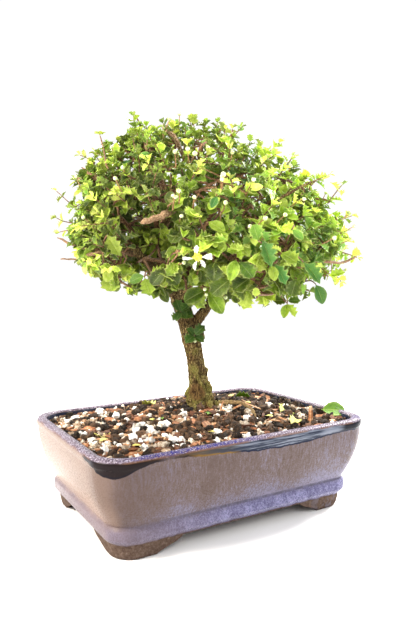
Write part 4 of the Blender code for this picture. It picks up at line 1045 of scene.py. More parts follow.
def leaf_shape(name, rows, fold, curl, wave, forward=0.05, thickness=0.018, columns=2):
    """A leaf of unit length along +Y, its upper face up: each row is a place along it and a half width."""
    bm = bmesh.new()
    uv = bm.loops.layers.uv.new("UVMap")
    count = len(rows) - 1
    bmesh.ops.create_grid(bm, x_segments=columns, y_segments=count, size=0.5)
    middle = columns / 2
    for vertex in bm.verts:
        column = (round((vertex.co.x + 0.5) * columns) - middle) / middle
        row = round((vertex.co.y + 0.5) * count)
        along, half = rows[row]
        edge = abs(column)
        lift = fold * half * edge + wave * (1 if row % 2 else -1) * half * edge * edge - curl * along * along
        vertex.co = (column * half, along + forward * edge * half * 2, lift)
        vertex.normal = (0, 0, 1)
    for face in bm.faces:
        for loop in face.loops:
            column = (loop.vert.index % (columns + 1) - middle) / middle
            loop[uv].uv = (0.5 + 0.5 * column, rows[loop.vert.index // (columns + 1)][0])
    bmesh.ops.remove_doubles(bm, verts=bm.verts, dist=0.0005)
    bmesh.ops.recalc_face_normals(bm, faces=bm.faces)
    if sum(face.normal.z for face in bm.faces) < 0:
        bmesh.ops.reverse_faces(bm, faces=bm.faces)
    bmesh.ops.solidify(bm, geom=list(bm.faces), thickness=thickness)
    bm.normal_update()
    for face in bm.faces:
        face.material_index = 1 if face.normal.z < -0.15 else 0
    return shape_of(bm, name)


SPINY_ROWS = ((0, 0.014), (0.08, 0.022), (0.16, 0.17), (0.28, 0.33), (0.37, 0.245), (0.5, 0.43),
              (0.6, 0.29), (0.75, 0.4), (0.84, 0.165), (1, 0))
SPINY_SLIM_ROWS = ((0, 0.014), (0.08, 0.022), (0.18, 0.13), (0.3, 0.275), (0.41, 0.185), (0.55, 0.32),
                   (0.65, 0.195), (0.79, 0.27), (0.88, 0.095), (1, 0))
SPINY_BROAD_ROWS = ((0, 0.014), (0.06, 0.024), (0.16, 0.2), (0.3, 0.36), (0.39, 0.31), (0.54, 0.48),
                    (0.63, 0.375), (0.78, 0.49), (0.86, 0.27), (0.95, 0.21), (1, 0))
OVAL_ROWS = ((0, 0.014), (0.07, 0.022), (0.16, 0.14), (0.3, 0.245), (0.46, 0.3), (0.62, 0.295),
             (0.77, 0.235), (0.89, 0.15), (0.97, 0.07), (1, 0))
ROUND_ROWS = ((0, 0.014), (0.07, 0.022), (0.15, 0.17), (0.29, 0.31), (0.46, 0.38), (0.63, 0.375),
              (0.79, 0.3), (0.91, 0.2), (0.98, 0.09), (1, 0))


def with_fewer_rows(rows):
    """The rows of a leaf that is seen small: one row fewer at its stalk and at its tip."""
    return rows[:1] + rows[2:8] + rows[9:]


def leaf_shapes():
    return {
        "spiny": [leaf_shape("spiny_leaf", SPINY_ROWS, 0.42, 0.18, 0.17)],
        "slim": [leaf_shape("spiny_slim_leaf", SPINY_SLIM_ROWS, 0.5, 0.26, 0.18)],
        "broad": [leaf_shape("spiny_broad_leaf", SPINY_BROAD_ROWS, 0.26, 0.14, 0.1, columns=4)],
        "curled": [leaf_shape("spiny_curled_leaf", SPINY_ROWS, 0.7, 0.42, 0.24)],
        "plain_broad": [leaf_shape("plain_broad_leaf", SPINY_BROAD_ROWS, 0.3, 0.2, 0.12)],
        "plain_oval": [leaf_shape("plain_oval_leaf", with_fewer_rows(OVAL_ROWS), 0.34, 0.2, 0.04),
                       leaf_shape("plain_round_leaf", with_fewer_rows(ROUND_ROWS), 0.3, 0.26, 0.05)],
        "oval": [leaf_shape("oval_leaf", OVAL_ROWS, 0.3, 0.12, 0.03, columns=4),
                 leaf_shape("round_leaf", ROUND_ROWS, 0.22, 0.16, 0.04, columns=4),
                 leaf_shape("oval_curled_leaf", OVAL_ROWS, 0.46, 0.28, 0.05, columns=4)],
    }


def rod_shape(name, sides, rings):
    """A rod of unit radius and length, up +Z from the origin, cut into rings so that it can bend."""
    bm = bmesh.new()
    bmesh.ops.create_cone(bm, cap_ends=True, segments=sides, radius1=1, radius2=1, depth=1,
                          matrix=Matrix.Translation((0, 0, 0.5)))
    for ring in range(1, rings):
        bmesh.ops.bisect_plane(bm, geom=bm.verts[:] + bm.edges[:] + bm.faces[:],
                               plane_co=(0, 0, ring / rings), plane_no=(0, 0, 1))
    return shape_of(bm, name)


def ball_shape(name, subdivisions):
    bm = bmesh.new()
    bmesh.ops.create_icosphere(bm, subdivisions=subdivisions, radius=1)
    return shape_of(bm, name)


def chunk_shape(name, rng, roundness, rough, flatness=1, cuts=1):
    """An uneven grain of about unit radius: a cut cube drawn towards a ball, then knocked about."""
    bm = bmesh.new()
    bmesh.ops.create_cube(bm, size=1.4)
    seed = jitter(rng, 40)
    bmesh.ops.subdivide_edges(bm, edges=bm.edges, cuts=cuts, use_grid_fill=True)
    for vertex in bm.verts:
        round_place = vertex.co.normalized() * 0.86
        lump = 1 + 1.6 * rough * noise.noise(vertex.co.normalized() * 1.7 + seed)
        knock = rng.uniform(1 - 0.5 * rough, 1 + 0.5 * rough)
        vertex.co = vertex.co.lerp(round_place, roundness) * lump * knock
        vertex.co.z *= flatness
    return shape_of(bm, name)


class Piece:
    """A piece that grows out of copies of made shapes, each with its own place, tone and finish."""

    def __init__(self, name, finishes):
        self.name = name
        self.finishes = finishes
        self.bm = bmesh.new()

    def add(self, shape, place, finish=None, tone=(0.5, 0.5, 0)):
        """Adds a copy. Its place is a matrix, or a function of the shape's points.

        A finish given here takes the place of the shape's own ones.
        """
        copy = shape.copy()
        if isinstance(place, Matrix):
            copy.transform(place)
        else:
            points = np.empty(len(copy.vertices) * 3)
            copy.vertices.foreach_get("co", points)
            copy.vertices.foreach_set("co", place(points.reshape(-1, 3)).ravel())
        count = len(copy.vertices)
        copy.attributes["tone"].data.foreach_set("color", np.tile((*tone, 1.0), count))
        if finish is not None:
            copy.polygons.foreach_set("material_index", [finish] * len(copy.polygons))
        self.bm.from_mesh(copy)
        bpy.data.meshes.remove(copy)

    def done(self, slot, *nodes):
        """Ends the piece as an object that stands for the nodes."""
        shown(mesh_of(self.bm, self.name), self.name, self.finishes, nodes)


def shown(mesh, name, finishes, nodes):
    """Shows a mesh as an object of the one body, which stands for the nodes."""
    for finish in finishes:
        mesh.materials.append(finish)
    made = placed(name, mesh)
    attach(made, "root")
    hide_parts(*nodes)


def along_path(path, radii, squash=1):
    """A place function that bends a rod along a path, with its own radius at each of the path's points."""
    points = np.array([tuple(point) for point in path], float)
    radii = np.array(radii, float)
    ways = np.gradient(points, axis=0)
    ways /= np.linalg.norm(ways, axis=1)[:, None]
    first = np.cross(ways[0], (0.3, 0.5, 0.8))
    firsts = []
    for way in ways:
        first = first - way * first.dot(way)
        first /= np.linalg.norm(first)
        firsts.append(first)
    firsts = np.array(firsts)
    seconds = np.cross(ways, firsts)
    levels = np.linspace(0, 1, len(points))

    def place(rod):
        at = [np.stack([np.interp(rod[:, 2], levels, row[:, axis]) for axis in range(3)], 1)
              for row in (points, firsts, seconds)]
        size = np.interp(rod[:, 2], levels, radii)[:, None]
        return at[0] + size * (rod[:, :1] * at[1] + squash * rod[:, 1:2] * at[2])
    return place


def facing(foot, ahead, up, size):
    """The matrix that sets a leaf's foot at a point, its length ahead and its upper face towards up."""
    ahead = ahead.normalized()
    across = ahead.cross(up).normalized()
    turn = Matrix((across, ahead, across.cross(ahead))).transposed().to_4x4()
    return Matrix.Translation(foot) @ turn @ Matrix.Diagonal((size, size, size, 1))


def turned(turn, tilt, roll):
    """The matrix that rolls a shape about its length, then tilts it, then turns it about the upright axis."""
    return (Matrix.Rotation(math.radians(turn), 4, "Z") @ Matrix.Rotation(math.radians(tilt), 4, "X")
            @ Matrix.Rotation(math.radians(roll), 4, "Y"))


def spun(way, angle):
    """A way square to another one, turned about it."""
    return Matrix.Rotation(angle, 3, way) @ way.orthogonal().normalized()


def jitter(rng, size):
    return Vector((rng.uniform(-size, size), rng.uniform(-size, size), rng.uniform(-size, size)))


# The crown

LEAVES = leaf_shapes()
THIN_ROD = rod_shape("thin_rod", 5, 6)
STUB_ROD = rod_shape("stub_rod", 9, 22)
LIMB_ROD = rod_shape("limb_rod", 20, 40)
BUD = ball_shape("bud", 2)

LEAF_UP = leaf_finish("holly_leaf_face", (
    (0, (0.016, 0.036, 0.006)), (0.25, (0.064, 0.124, 0.01)), (0.5, (0.19, 0.31, 0.018)),
    (0.75, (0.365, 0.505, 0.05)), (1, (0.565, 0.65, 0.15))), 0.42, 0.26, 1)
LEAF_DOWN = leaf_finish("holly_leaf_back", (
    (0, (0.048, 0.074, 0.022)), (0.35, (0.125, 0.175, 0.042)), (0.7, (0.3, 0.37, 0.075)),
    (1, (0.64, 0.66, 0.18))), 0.42, 0.48, -0.8, (0.06, 0.16, 0.07))
TWIG = twig_finish()
STALK = stalk_finish()
BUD_SKIN = bud_finish()
STUB_BARK = stub_finish()
BARK = bark_finish()

# The finishes of every leafy piece, and their places in its list.
FOLIAGE = [LEAF_UP, LEAF_DOWN, TWIG, STALK, BUD_SKIN, STUB_BARK, BARK]
AS_TWIG, AS_STALK, AS_BUD, AS_STUB, AS_BARK = range(2, 7)
STUB_FINISHES = {"pale": AS_STUB, "bark": AS_BARK, "twig": AS_TWIG}
LEAF_KINDS = ("spiny", "spiny", "slim", "slim", "plain_broad", "curled", "curled", "curled",
              "plain_oval", "plain_oval")
FIFTH_OF_TURN = 1.257


def in_box(place):
    """Whether a place lies in the part's box, or just outside."""
    return all(low - BOX_MARGIN < part < high + BOX_MARGIN
               for low, part, high in zip(cad_bounds[0], place, cad_bounds[1]))


def egg_share(place, middle, spans):
    """How deep a place lies in an egg-shaped part of the crown: 1 in its middle, 0 or less outside."""
    away = place - in_crown(*middle)
    shares = (away.dot(SIDE) / spans[0], away.dot(DEPTH) / spans[1], away.z / spans[2])
    return 1 - sum(share * share for share in shares)


def in_hollow(place):
    """How deep a place lies in the hollow at the crown's front: 0 outside, 1 in its middle."""
    return max(egg_share(place, HOLLOW_MIDDLE, HOLLOW_SPANS), 0)


def hue_at(place, rng):
    """A leaf's hue: olive as painted shade in the shaded parts, now and then blue-green elsewhere, more so at
    the crown's right.
    """
    olive = max(0, *(egg_share(place, middle, spans) for middle, spans in SHADES))
    right = clipped(side_of(place) / 0.03)
    cool = 0.9 * rng.random() ** (5 - 3.2 * right)
    return 0.5 - 0.5 * min(2 * olive, 1) * rng.uniform(0.5, 1) if olive > 0 else 0.5 + 0.5 * cool


def right_share(place):
    """How far a place lies at the crown's right: 0 at the trunk's foot and left of it, 1 past 50 mm."""
    return clipped(side_of(place) / 0.05)


def add_leaf(piece, foot, ahead, up, size, age, rng, kind=None, hue=None, bright=None):
    """A leaf at its foot, kept small enough to stay in the crown's box, and painted brighter at the crown's
    right as light falling there.
    """
    shape = rng.choice(LEAVES[kind or rng.choice(LEAF_KINDS)])
    natural = hue_at(foot, rng)
    # Painted shade: leaves tinted olive are also made darker.
    if hue is None:
        age *= 1 - 0.6 * max(0.5 - natural, 0)
    while size > 0.003 and not in_box(foot + ahead.normalized() * size):
        size *= 0.8
    # Painted light: leaves at the crown's right are drawn brighter.
    if bright is None:
        bright = rng.random() ** (1 - 0.5 * right_share(foot))
    tone = (clipped(age), bright, natural if hue is None else 0.5 + 0.5 * hue)
    piece.add(shape, facing(foot, ahead, up, size), tone=tone)


def add_twig(piece, rows, start, end, finish=AS_TWIG, steps=4):
    """A twig through places, from its radius at the start to that at its end."""
    path = smooth_rows(rows, steps)
    piece.add(THIN_ROD, along_path(path, np.linspace(start, end, len(path))), finish)


def grow_shoot(piece, root, tip, rng, size, youth, pairs, slack=1.05):
    """A leafy shoot: a bent twig from its root to its tip, leaves in crossed pairs along its outer part."""
    out = crown_out(tip)
    droop = clipped((0.2 - tip.z) / 0.04)
    lead = (out + UP * 0.22 * (1 - droop) + jitter(rng, 0.45)).normalized()
    knee = tip - lead * min(rng.uniform(0.018, 0.028), 0.75 * (tip - root).length)
    late = knee.lerp(tip, 0.55) + jitter(rng, 0.0012)
    thick = rng.uniform(0.00055, 0.001)
    early = root.lerp(knee, 0.55) + jitter(rng, 0.005)
    add_twig(piece, [root, early, knee, late, tip], thick, 0.00032, steps=3)
    turn = rng.uniform(0, math.pi)
    for pair in range(pairs):
        share = (pair + 0.35) / pairs
        foot = knee.lerp(late, share / 0.6) if share < 0.6 else late.lerp(tip, (share - 0.6) / 0.4)
        lean = math.radians(rng.uniform(50, 84) - 22 * share)
        for half in (0, math.pi):
            if rng.random() < MISSING_LEAVES:
                continue
            around = spun(lead, turn + half + rng.uniform(-0.6, 0.6))
            rise = rng.uniform(-0.3 - 0.35 * droop, 0.35)
            ahead = lead * math.cos(lean) + around * math.sin(lean) + UP * rise + jitter(rng, 0.15)
            ahead = ahead.normalized()
            up = lead * 0.7 + UP * 0.65 + out * 0.35 + jitter(rng, 0.65)
            long = size * rng.uniform(0.68, 1.25) * (1 - 0.25 * share)
            if crown_share(foot + ahead * long) > slack:
                long *= 0.72
            if crown_share(foot + ahead * long) > slack + 0.04:
                continue
            age = youth * (0.35 + 0.65 * share) + rng.uniform(-0.16, 0.16) + 0.16
            add_leaf(piece, foot, ahead, up, long, age, rng)
        turn += math.pi / 2 + rng.uniform(-0.3, 0.3)
    for half in (0, math.pi):
        around = spun(lead, turn + half)
        add_leaf(piece, tip, lead * 0.85 + around * 0.5, lead * 0.3 + UP + jitter(rng, 0.3),
                 size * rng.uniform(0.45, 0.65), youth * 0.9 + 0.32, rng)
    return tip, lead


def add_bud(piece, tip, way, rng, long):
    """A round bud on a thin red stalk."""
    end = tip + way * long
    middle = tip.lerp(end, 0.5) + jitter(rng, 0.0008)
    add_twig(piece, [tip - way * 0.003, middle, end], 0.00045, 0.00032, AS_STALK, 3)
    radius = rng.uniform(0.0012, 0.0016)
    piece.add(BUD, Matrix.Translation(end + way * radius * 0.8) @ Matrix.Scale(radius, 4), AS_BUD)


def crown_places(rows):
    """The places of a smooth line through rows of side, depth and height."""
    return [in_crown(*row[:3]) for row in smooth_rows(rows, 8)]


class Crown:
    """The pieces of the sprays, each with the branch that its shoots grow from."""

    def __init__(self):
        self.rng = random.Random(20)
        self.middles = [in_crown(*row[3]) for row in SPRAYS]
        self.pieces = [Piece("leaves_" + row[0], FOLIAGE) for row in SPRAYS]
        self.branches = [self.grow_branch(*row) for row in zip(SPRAYS, self.middles, self.pieces)]

    def grow_branch(self, spray, middle, piece):
        """Grows a spray's branch from its limb to near its middle, with five forks, and lists its points."""
        rng = self.rng
        _, limb, share, _ = spray
        line = crown_places(LIMBS[limb])
        start = line[round(share * (len(line) - 1))]
        middle = middle.lerp(start, 0.22)
        bend = start.lerp(middle, 0.5) + UP * 0.1 * (middle - start).length
        add_twig(piece, [start, bend, middle], 0.0022, 0.0011, steps=5)
        branch = [Vector(point) for point in smooth_rows([start, bend, middle], 5)[4:]]
        out = crown_out(middle)
        for number in range(5):
            fork = branch[-1 - number % 3]
            end = middle + out * rng.uniform(0.004, 0.016)
            end = end + spun(out, FIFTH_OF_TURN * number + rng.uniform(-0.4, 0.4)) * 0.023
            late = fork.lerp(end, 0.5) + jitter(rng, 0.003)
            if in_hollow(late) > 0:
                continue
            add_twig(piece, [fork, late, end], 0.001, 0.0006)
            branch += [Vector(point) for point in smooth_rows([fork, late, end], 3)[2:]]
        return branch

    def nearest(self, place, slack=0.014):
        """The spray nearest to a place, and about the nearest point on its branch."""
        number = min(range(len(self.middles)), key=lambda i: (self.middles[i] - place).length)
        root = min(self.branches[number], key=lambda point: (
            (point - place).length + 0.3 * abs(point.z - place.z) + self.rng.uniform(0, slack)))
        return self.pieces[number], root

    def shoot_tip(self, way, scale):
        """Where a shoot on a way from the crown's middle ends, or None where the crown is left open."""
        rng = self.rng
        bunch = noise.noise(Vector(way) * 3.1 + Vector((5, 3, 1)))
        edge = crown_edge(way, scale * (0.975 + 0.1 * min(bunch, 0.25))) + jitter(rng, 0.003)
        tip = edge - crown_out(edge) * LEAF_TO_EDGE * rng.uniform(0.8, 1.5)
        side = side_of(tip)
        from_trunk = Vector((side - BARE_TRUNK_SIDE, depth_of(tip))).length
        if tip.z < BARE_TRUNK_TOP and from_trunk < BARE_TRUNK_REACH:
            return None
        if in_hollow(tip) > 0 and rng.random() < HOLLOW_THINNING:
            return None
        if scale == HEART_SHARE and depth_of(tip) < 0:
            return None
        return tip

    def drawn_in(self, tip):
        """A shoot's tip moved in at the crown's right, and at its left below the widest place."""
        side = side_of(tip)
        right = clipped((side - RIGHT_DRAWN_FROM) / RIGHT_DRAWN_SPAN)
        tip = tip.lerp(in_crown(*CROWN_MIDDLE), RIGHT_DRAWN_IN * right)
        if side < LEFT_DRAWN_FROM and tip.z < LEFT_DRAWN_TOP:
            tip += SIDE * LEFT_DRAWN_IN * (LEFT_DRAWN_FROM - side)
        return tip

    def grow_shoots(self, count, scale):
        """A layer of shoots that end on the crown's outline, or on a smaller one inside it."""
        rng = self.rng
        for number, way in enumerate(even_ways(count)):
            tip = self.shoot_tip(way, scale)
            if tip is None:
                continue
            side, hollow = side_of(tip), in_hollow(tip)
            tip = self.drawn_in(tip)
            if side < UNDER_LEFT_FROM and tip.z < UNDER_LEFT_TOP and rng.random() < UNDER_LEFT_THINNING:
                continue
            piece, root = self.nearest(tip)
            low = clipped((0.235 - tip.z) / 0.07)
            right = clipped((side + 0.05) / 0.05)
            size = LEAF_SIZE_TOP + (LEAF_SIZE_LOW - LEAF_SIZE_TOP) * low * (0.25 + 0.75 * right)
            if scale < 1:
                grow_shoot(piece, root, tip, rng, size, rng.choice(INNER_YOUTHS), 3)
                continue
            # Painted shade: leaves are drawn older and darker low at the front middle and in the hollow.
            facing_front = 0.5 - 0.5 * crown_out(tip).dot(DEPTH)
            shaded = max(0, 1 - abs(side + 0.01) / 0.045) * (0.4 + 0.6 * low) * facing_front
            youth = rng.choice(OUTER_YOUTHS) * (1 - 0.12 * right_share(tip))
            youth *= (1 - 0.6 * min(2 * hollow, 1)) * (1 - 0.55 * shaded)
            pairs = 4 if low > 0.7 and right > 0.9 else 5
            tip, lead = grow_shoot(piece, root, tip, rng, size, youth, pairs)
            if number % SHOOTS_PER_BUD == 0:
                way_out = (lead + UP * 0.3 + jitter(rng, 0.5)).normalized()
                add_bud(piece, tip, way_out, rng, rng.uniform(0.005, 0.009))

    def add_stubs(self):
        """Cut and broken limbs and bare twigs. The thinnest one ends in a rosette of pale leaves."""
        rng = self.rng
        for kind, *rows in STUBS:
            thinnest = rows[-1][3]
            places = [in_crown(*row[:3]) + jitter(rng, 0.0012) for row in rows]
            path = [point + np.array(jitter(rng, 0.4 * thinnest)) for point in smooth_rows(places, 7)]
            radii = [radius * rng.uniform(0.8, 1.18)
                     for radius in np.linspace(rows[0][3], thinnest, len(path))]
            radii[-2:] = [radii[-2] * 0.75, radii[-1] * 0.3]
            self.nearest(places[-1])[0].add(STUB_ROD, along_path(path, radii), STUB_FINISHES[kind])
            if thinnest < ROSETTE_TWIG:
                for turn in range(5):
                    ahead = spun(UP, FIFTH_OF_TURN * turn) + UP * 0.6
                    add_leaf(self.nearest(places[-1])[0], places[-1], ahead, UP, ROSETTE_LEAF, 0.95, rng,
                             "plain_oval", 0, 0.4)

    def add_bud_clusters(self):
        rng = self.rng
        for side, depth, height, count in BUD_CLUSTERS:
            place = in_crown(side, depth, height)
            piece, root = self.nearest(place)
            out = (crown_out(place) + UP * 0.5).normalized()
            fork = place - out * 0.01
            bend = root.lerp(fork, 0.6) + jitter(rng, 0.003)
            add_twig(piece, [root, bend, fork, fork + out * 0.003], 0.00042, 0.00034, AS_STALK)
            for _ in range(count):
                way = (out + jitter(rng, 0.3 if count > 1 else 0.05)).normalized()
                add_bud(piece, fork + out * 0.002, way, rng, rng.uniform(0.007, 0.009))
            ahead = spun(out, rng.uniform(0, 6)) + out * 0.4
            add_leaf(piece, fork, ahead, out, 0.008, rng.uniform(0.5, 0.9), rng)

    def add_loose_leaves(self):
        """The leaves that stand out, each on its own twig."""
        rng = self.rng
        for foot, (side, depth, rise), size, kind, age, hue in LOOSE_LEAVES:
            place = in_crown(*foot)
            ahead = (SIDE * side + DEPTH * depth + UP * rise).normalized()
            piece, root = self.nearest(place, 0)
            bend = root.lerp(place, 0.6) + jitter(rng, 0.003) + UP * 0.003
            add_twig(piece, [root, bend, place], 0.0007, 0.0004)
            up = UP * 0.55 - DEPTH * 0.85 + jitter(rng, 0.15)
            add_leaf(piece, place, ahead, up, size, age, rng, kind, hue, rng.uniform(0.25, 0.6))

    def add_sprigs(self):
        for foot, tip in SPRIGS:
            root, tip = in_crown(*foot), in_crown(*tip)
            piece, branch = self.nearest(root)
            bend = branch.lerp(root, 0.6) + jitter(self.rng, 0.003)
            add_twig(piece, [branch, bend, root], 0.0008, 0.0005)
            grow_shoot(piece, root, tip, self.rng, SPRIG_LEAF, 1, 2, OUTSIDE_SLACK)

    def add_fillers(self, spots, youths):
        for spot in spots:
            tip = in_crown(*spot)
            piece, root = self.nearest(tip)
            grow_shoot(piece, root, tip, self.rng, FILLER_LEAF, self.rng.choice(youths), 4)

    def add_tufts(self):
        for side, height in TUFTS:
            tip = in_crown(side, TUFT_DEPTH, height) + DEPTH * self.rng.uniform(-0.012, 0.012)
            piece, root = self.nearest(tip)
            youth = self.rng.choice(TUFT_YOUTHS)
            grow_shoot(piece, root, tip, self.rng, TUFT_LEAF, youth, 4, OUTSIDE_SLACK)

    def done(self):
        for row, piece in zip(SPRAYS, self.pieces):
            piece.done("holly_leaf", "spray_" + row[0])


def build_crown():
    crown = Crown()
    crown.grow_shoots(OUTER_SHOOTS, 1)
    crown.grow_shoots(INNER_SHOOTS, INNER_SHARE)
    crown.grow_shoots(HEART_SHOOTS, HEART_SHARE)
    crown.add_stubs()
    crown.add_bud_clusters()
    crown.add_loose_leaves()
    crown.add_sprigs()
    crown.add_fillers(FILLERS, FILLER_YOUTHS)
    crown.add_tufts()
    crown.add_fillers(HOLLOW_FILLERS, HOLLOW_YOUTHS)
    crown.done()


# The wood


def remeshed(mesh, voxel):
    """One skin over everything in the mesh."""
    thing = placed("wood_block", mesh)
    modifier = thing.modifiers.new("skin", "REMESH")
    modifier.mode = "VOXEL"
    modifier.voxel_size = voxel
    made = with_modifiers(thing)
    bpy.data.objects.remove(thing)
    bpy.data.meshes.remove(mesh)
    return made


def wood_rods():
    """The middle lines of the trunk, the limbs and the roots, as rows of a place and a radius."""
    rods = [[(*in_crown(*row[:3]), row[3]) for row in smooth_rows(line, 8)]
            for line in (TRUNK_LINE, *LIMBS.values())]
    for root in ROOTS:
        rows = []
        for side, depth, lift, radius in smooth_rows(root, 8):
            spot = in_crown(side, depth, 0)
            rows.append((spot.x, spot.y, soil_height(spot.x, spot.y) + lift, radius))
        rods.append(rows)
    return rods


def bark_relief(place):
    """How far the bark stands out at a place: ridges and lumps, strongest low on the trunk, less the scar."""
    fine = place * 1000
    old = math.exp(-max(place.z - MOUND_TOP, 0) / OLD_BARK_REACH)
    wander = noise.noise(fine * 0.09) * 1.6
    ridge = 1 - abs(noise.noise(Vector((fine.x * 0.62 + wander, fine.y * 0.62 + wander, fine.z * 0.11))))
    furrow = noise.noise(Vector((fine.x * 1.3, fine.y * 1.3, fine.z * 0.35)))
    lump = noise.noise(fine * 0.19)
    scar = SCAR_DEPTH * math.exp(-((place - in_crown(*SCAR)).length / SCAR_REACH) ** 2)
    return ((ridge - 0.78) * BARK_RIDGES * (0.35 + 0.65 * old) + furrow * BARK_FURROWS
            + lump * BARK_LUMPS * old - scar)


def build_wood():
    """Trunk, roots and limbs under one skin, with ridges of bark raised along them."""
    block = Piece("wood_block", [])
    for rows in wood_rods():
        block.add(LIMB_ROD, along_path([row[:3] for row in rows], [row[3] for row in rows]))
    rng = random.Random(4)
    for side, depth, height, radius in KNOTS:
        squeeze = Matrix.Diagonal((1, 1, rng.uniform(0.9, 1.5), 1))
        block.add(BUD, Matrix.Translation(in_crown(side, depth, height)) @ Matrix.Scale(radius, 4) @ squeeze)
    mesh = remeshed(mesh_of(block.bm, "wood_block"), WOOD_VOXEL)
    mesh.shade_smooth()
    normals = [vertex.normal.copy() for vertex in mesh.vertices]
    for vertex, out in zip(mesh.vertices, normals):
        vertex.co += out * bark_relief(vertex.co)
    shown(mesh, "trunk_and_limbs_wood", [BARK], ["trunk_and_limbs"])


def build_sprouts():
    """Little leafy shoots straight out of the bark. The low one has a bud, and the high one leans right."""
    rng = random.Random(8)
    line = crown_places(TRUNK_LINE)
    for name, height, (side, depth), pairs in SPROUTS:
        piece = Piece("sprout_" + name + "_leaves", FOLIAGE)
        middle = min(line, key=lambda point: abs(point.z - height))
        way = (SIDE * side + DEPTH * depth).normalized()
        foot = middle + way * 0.005
        lead = (way + UP * 0.5).normalized()
        tip = foot + way * 0.003 + lead * 0.0045
        add_twig(piece, [foot, foot + way * 0.0035, tip], 0.0009, 0.0005)
        for pair in range(pairs):
            for half in (0, math.pi):
                around = spun(lead, pair * math.pi / 2 + half + rng.uniform(-0.4, 0.4))
                ahead = lead * 0.45 + around + SIDE * 0.25 * (name == "high")
                size = SPROUT_LEAF * rng.uniform(0.8, 1.1)
                add_leaf(piece, tip - lead * 0.0014 * pair, ahead, lead + UP * 0.3, size,
                         rng.uniform(0, 0.28), rng, "spiny", 0.5, 0.3)
        if name == "low":
            add_bud(piece, foot + way * 0.0015 - UP * 0.002, way, rng, 0.007)
        piece.done("holly_leaf", "sprout_" + name)


# The flower


def petal_shapes():
    """Three clawed and frilled petals, each with its own fold, curl, wave and cup."""
    shapes = []
    for number, (fold, curl, wave, forward) in enumerate(PETAL_BENDS):
        shape = leaf_shape(f"petal_{number}", PETAL_ROWS, fold, curl, wave, forward, 0.03, 6)
        shape.polygons.foreach_set("material_index", [0] * len(shape.polygons))
        shapes.append(shape)
    return shapes


def build_flower():
    """The open flower: clawed, frilled petals, with stamens round a yellow middle."""
    petals = petal_shapes()
    axis = (SIDE * FLOWER_FACES[0] + DEPTH * FLOWER_FACES[1] + UP * FLOWER_FACES[2]).normalized()
    place = in_crown(*FLOWER_PLACE)
    turn = Matrix((SIDE, axis.cross(SIDE).normalized(), axis)).transposed().to_4x4()
    rng = random.Random(9)
    whorl = Piece("flower_petal_whorl", [petal_finish(), STALK])
    for number, (angle, size, tilt, roll) in enumerate(PETALS):
        pose = turned(angle - 90, tilt, roll)
        shape = petals[number % len(petals)]
        whorl.add(shape, Matrix.Translation(place) @ turn @ pose @ Matrix.Scale(size, 4))
    back = place - axis * 0.0012
    root = in_crown(*FLOWER_ROOT)
    add_twig(whorl, [root, root.lerp(back, 0.5) - UP * 0.002, back], 0.0006, 0.0005, 1)
    whorl.done("white_petal", "flower_petals")

    heart = Piece("flower_stamens", [stamen_finish(), BUD_SKIN])
    heart.add(BUD, Matrix.Translation(place + axis * 0.001) @ Matrix.Scale(0.0011, 4), 0)
    for number in range(STAMENS):
        spin = Matrix.Rotation(2 * math.pi * number / STAMENS, 3, axis)
        way = (axis + spin @ axis.orthogonal().normalized() * rng.uniform(0.3, 2.2)).normalized()
        end = place + way * rng.uniform(0.002, 0.0032)
        path = [place, place.lerp(end, 0.5), end]
        heart.add(THIN_ROD, along_path(path, [STAMEN_RADIUS] * 3), 1)
        heart.add(BUD, Matrix.Translation(end) @ Matrix.Scale(rng.uniform(0.00045, 0.00075), 4), 0)
    heart.done("yellow_stamens", "flower_heart")


# The pot


def inside_outline(x, y, inset):
    """Whether a place from the pot's middle lies inside its outline drawn in by the inset."""
    radius = POT_CORNER_RADIUS - CORNER_TIGHTENING * inset
    over_x = max(abs(x) - (POT_LENGTH / 2 - inset - radius), 0)
    over_y = max(abs(y) - (POT_WIDTH / 2 - inset - radius), 0)
    return math.hypot(over_x, over_y) < radius


def wall_inset(height):
    share = max((height - WALL_FOOT) / (LIP_BOTTOM - WALL_FOOT), 0)
    return WALL_HEAD_INSET + (WALL_FOOT_INSET - WALL_HEAD_INSET) * (1 - share) ** WALL_BOW


def raised(name, rows):
    """A closed body drawn up through rows of inset and height, on the pot's rounded oblong."""
    bm = bmesh.new()
    bmesh.ops.create_circle(bm, segments=4 * CORNER_STEPS, radius=1,
                            matrix=Matrix.Rotation(math.pi / (4 * CORNER_STEPS), 4, "Z"))
    ways = {vertex: vertex.co.copy() for vertex in bm.verts}
    edges = list(bm.edges)

    def settle(inset, height):
        radius = POT_CORNER_RADIUS - CORNER_TIGHTENING * inset
        for vertex, way in ways.items():
            vertex.co = POT_MIDDLE + Vector((
                math.copysign(POT_LENGTH / 2 - inset - radius, way.x) + radius * way.x,
                math.copysign(POT_WIDTH / 2 - inset - radius, way.y) + radius * way.y, height))

    settle(*rows[0])
    bmesh.ops.edgeloop_fill(bm, edges=edges)
    for inset, height in rows[1:]:
        known = {tuple(vertex.co): way for vertex, way in ways.items()}
        grown = bmesh.ops.extrude_edge_only(bm, edges=edges)["geom"]
        edges = [item for item in grown if isinstance(item, bmesh.types.BMEdge)]
        ways = {item: known[tuple(item.co)] for item in grown if isinstance(item, bmesh.types.BMVert)}
        settle(inset, height)
    bmesh.ops.edgeloop_fill(bm, edges=edges)
    bmesh.ops.recalc_face_normals(bm, faces=bm.faces)
    return mesh_of(bm, name)


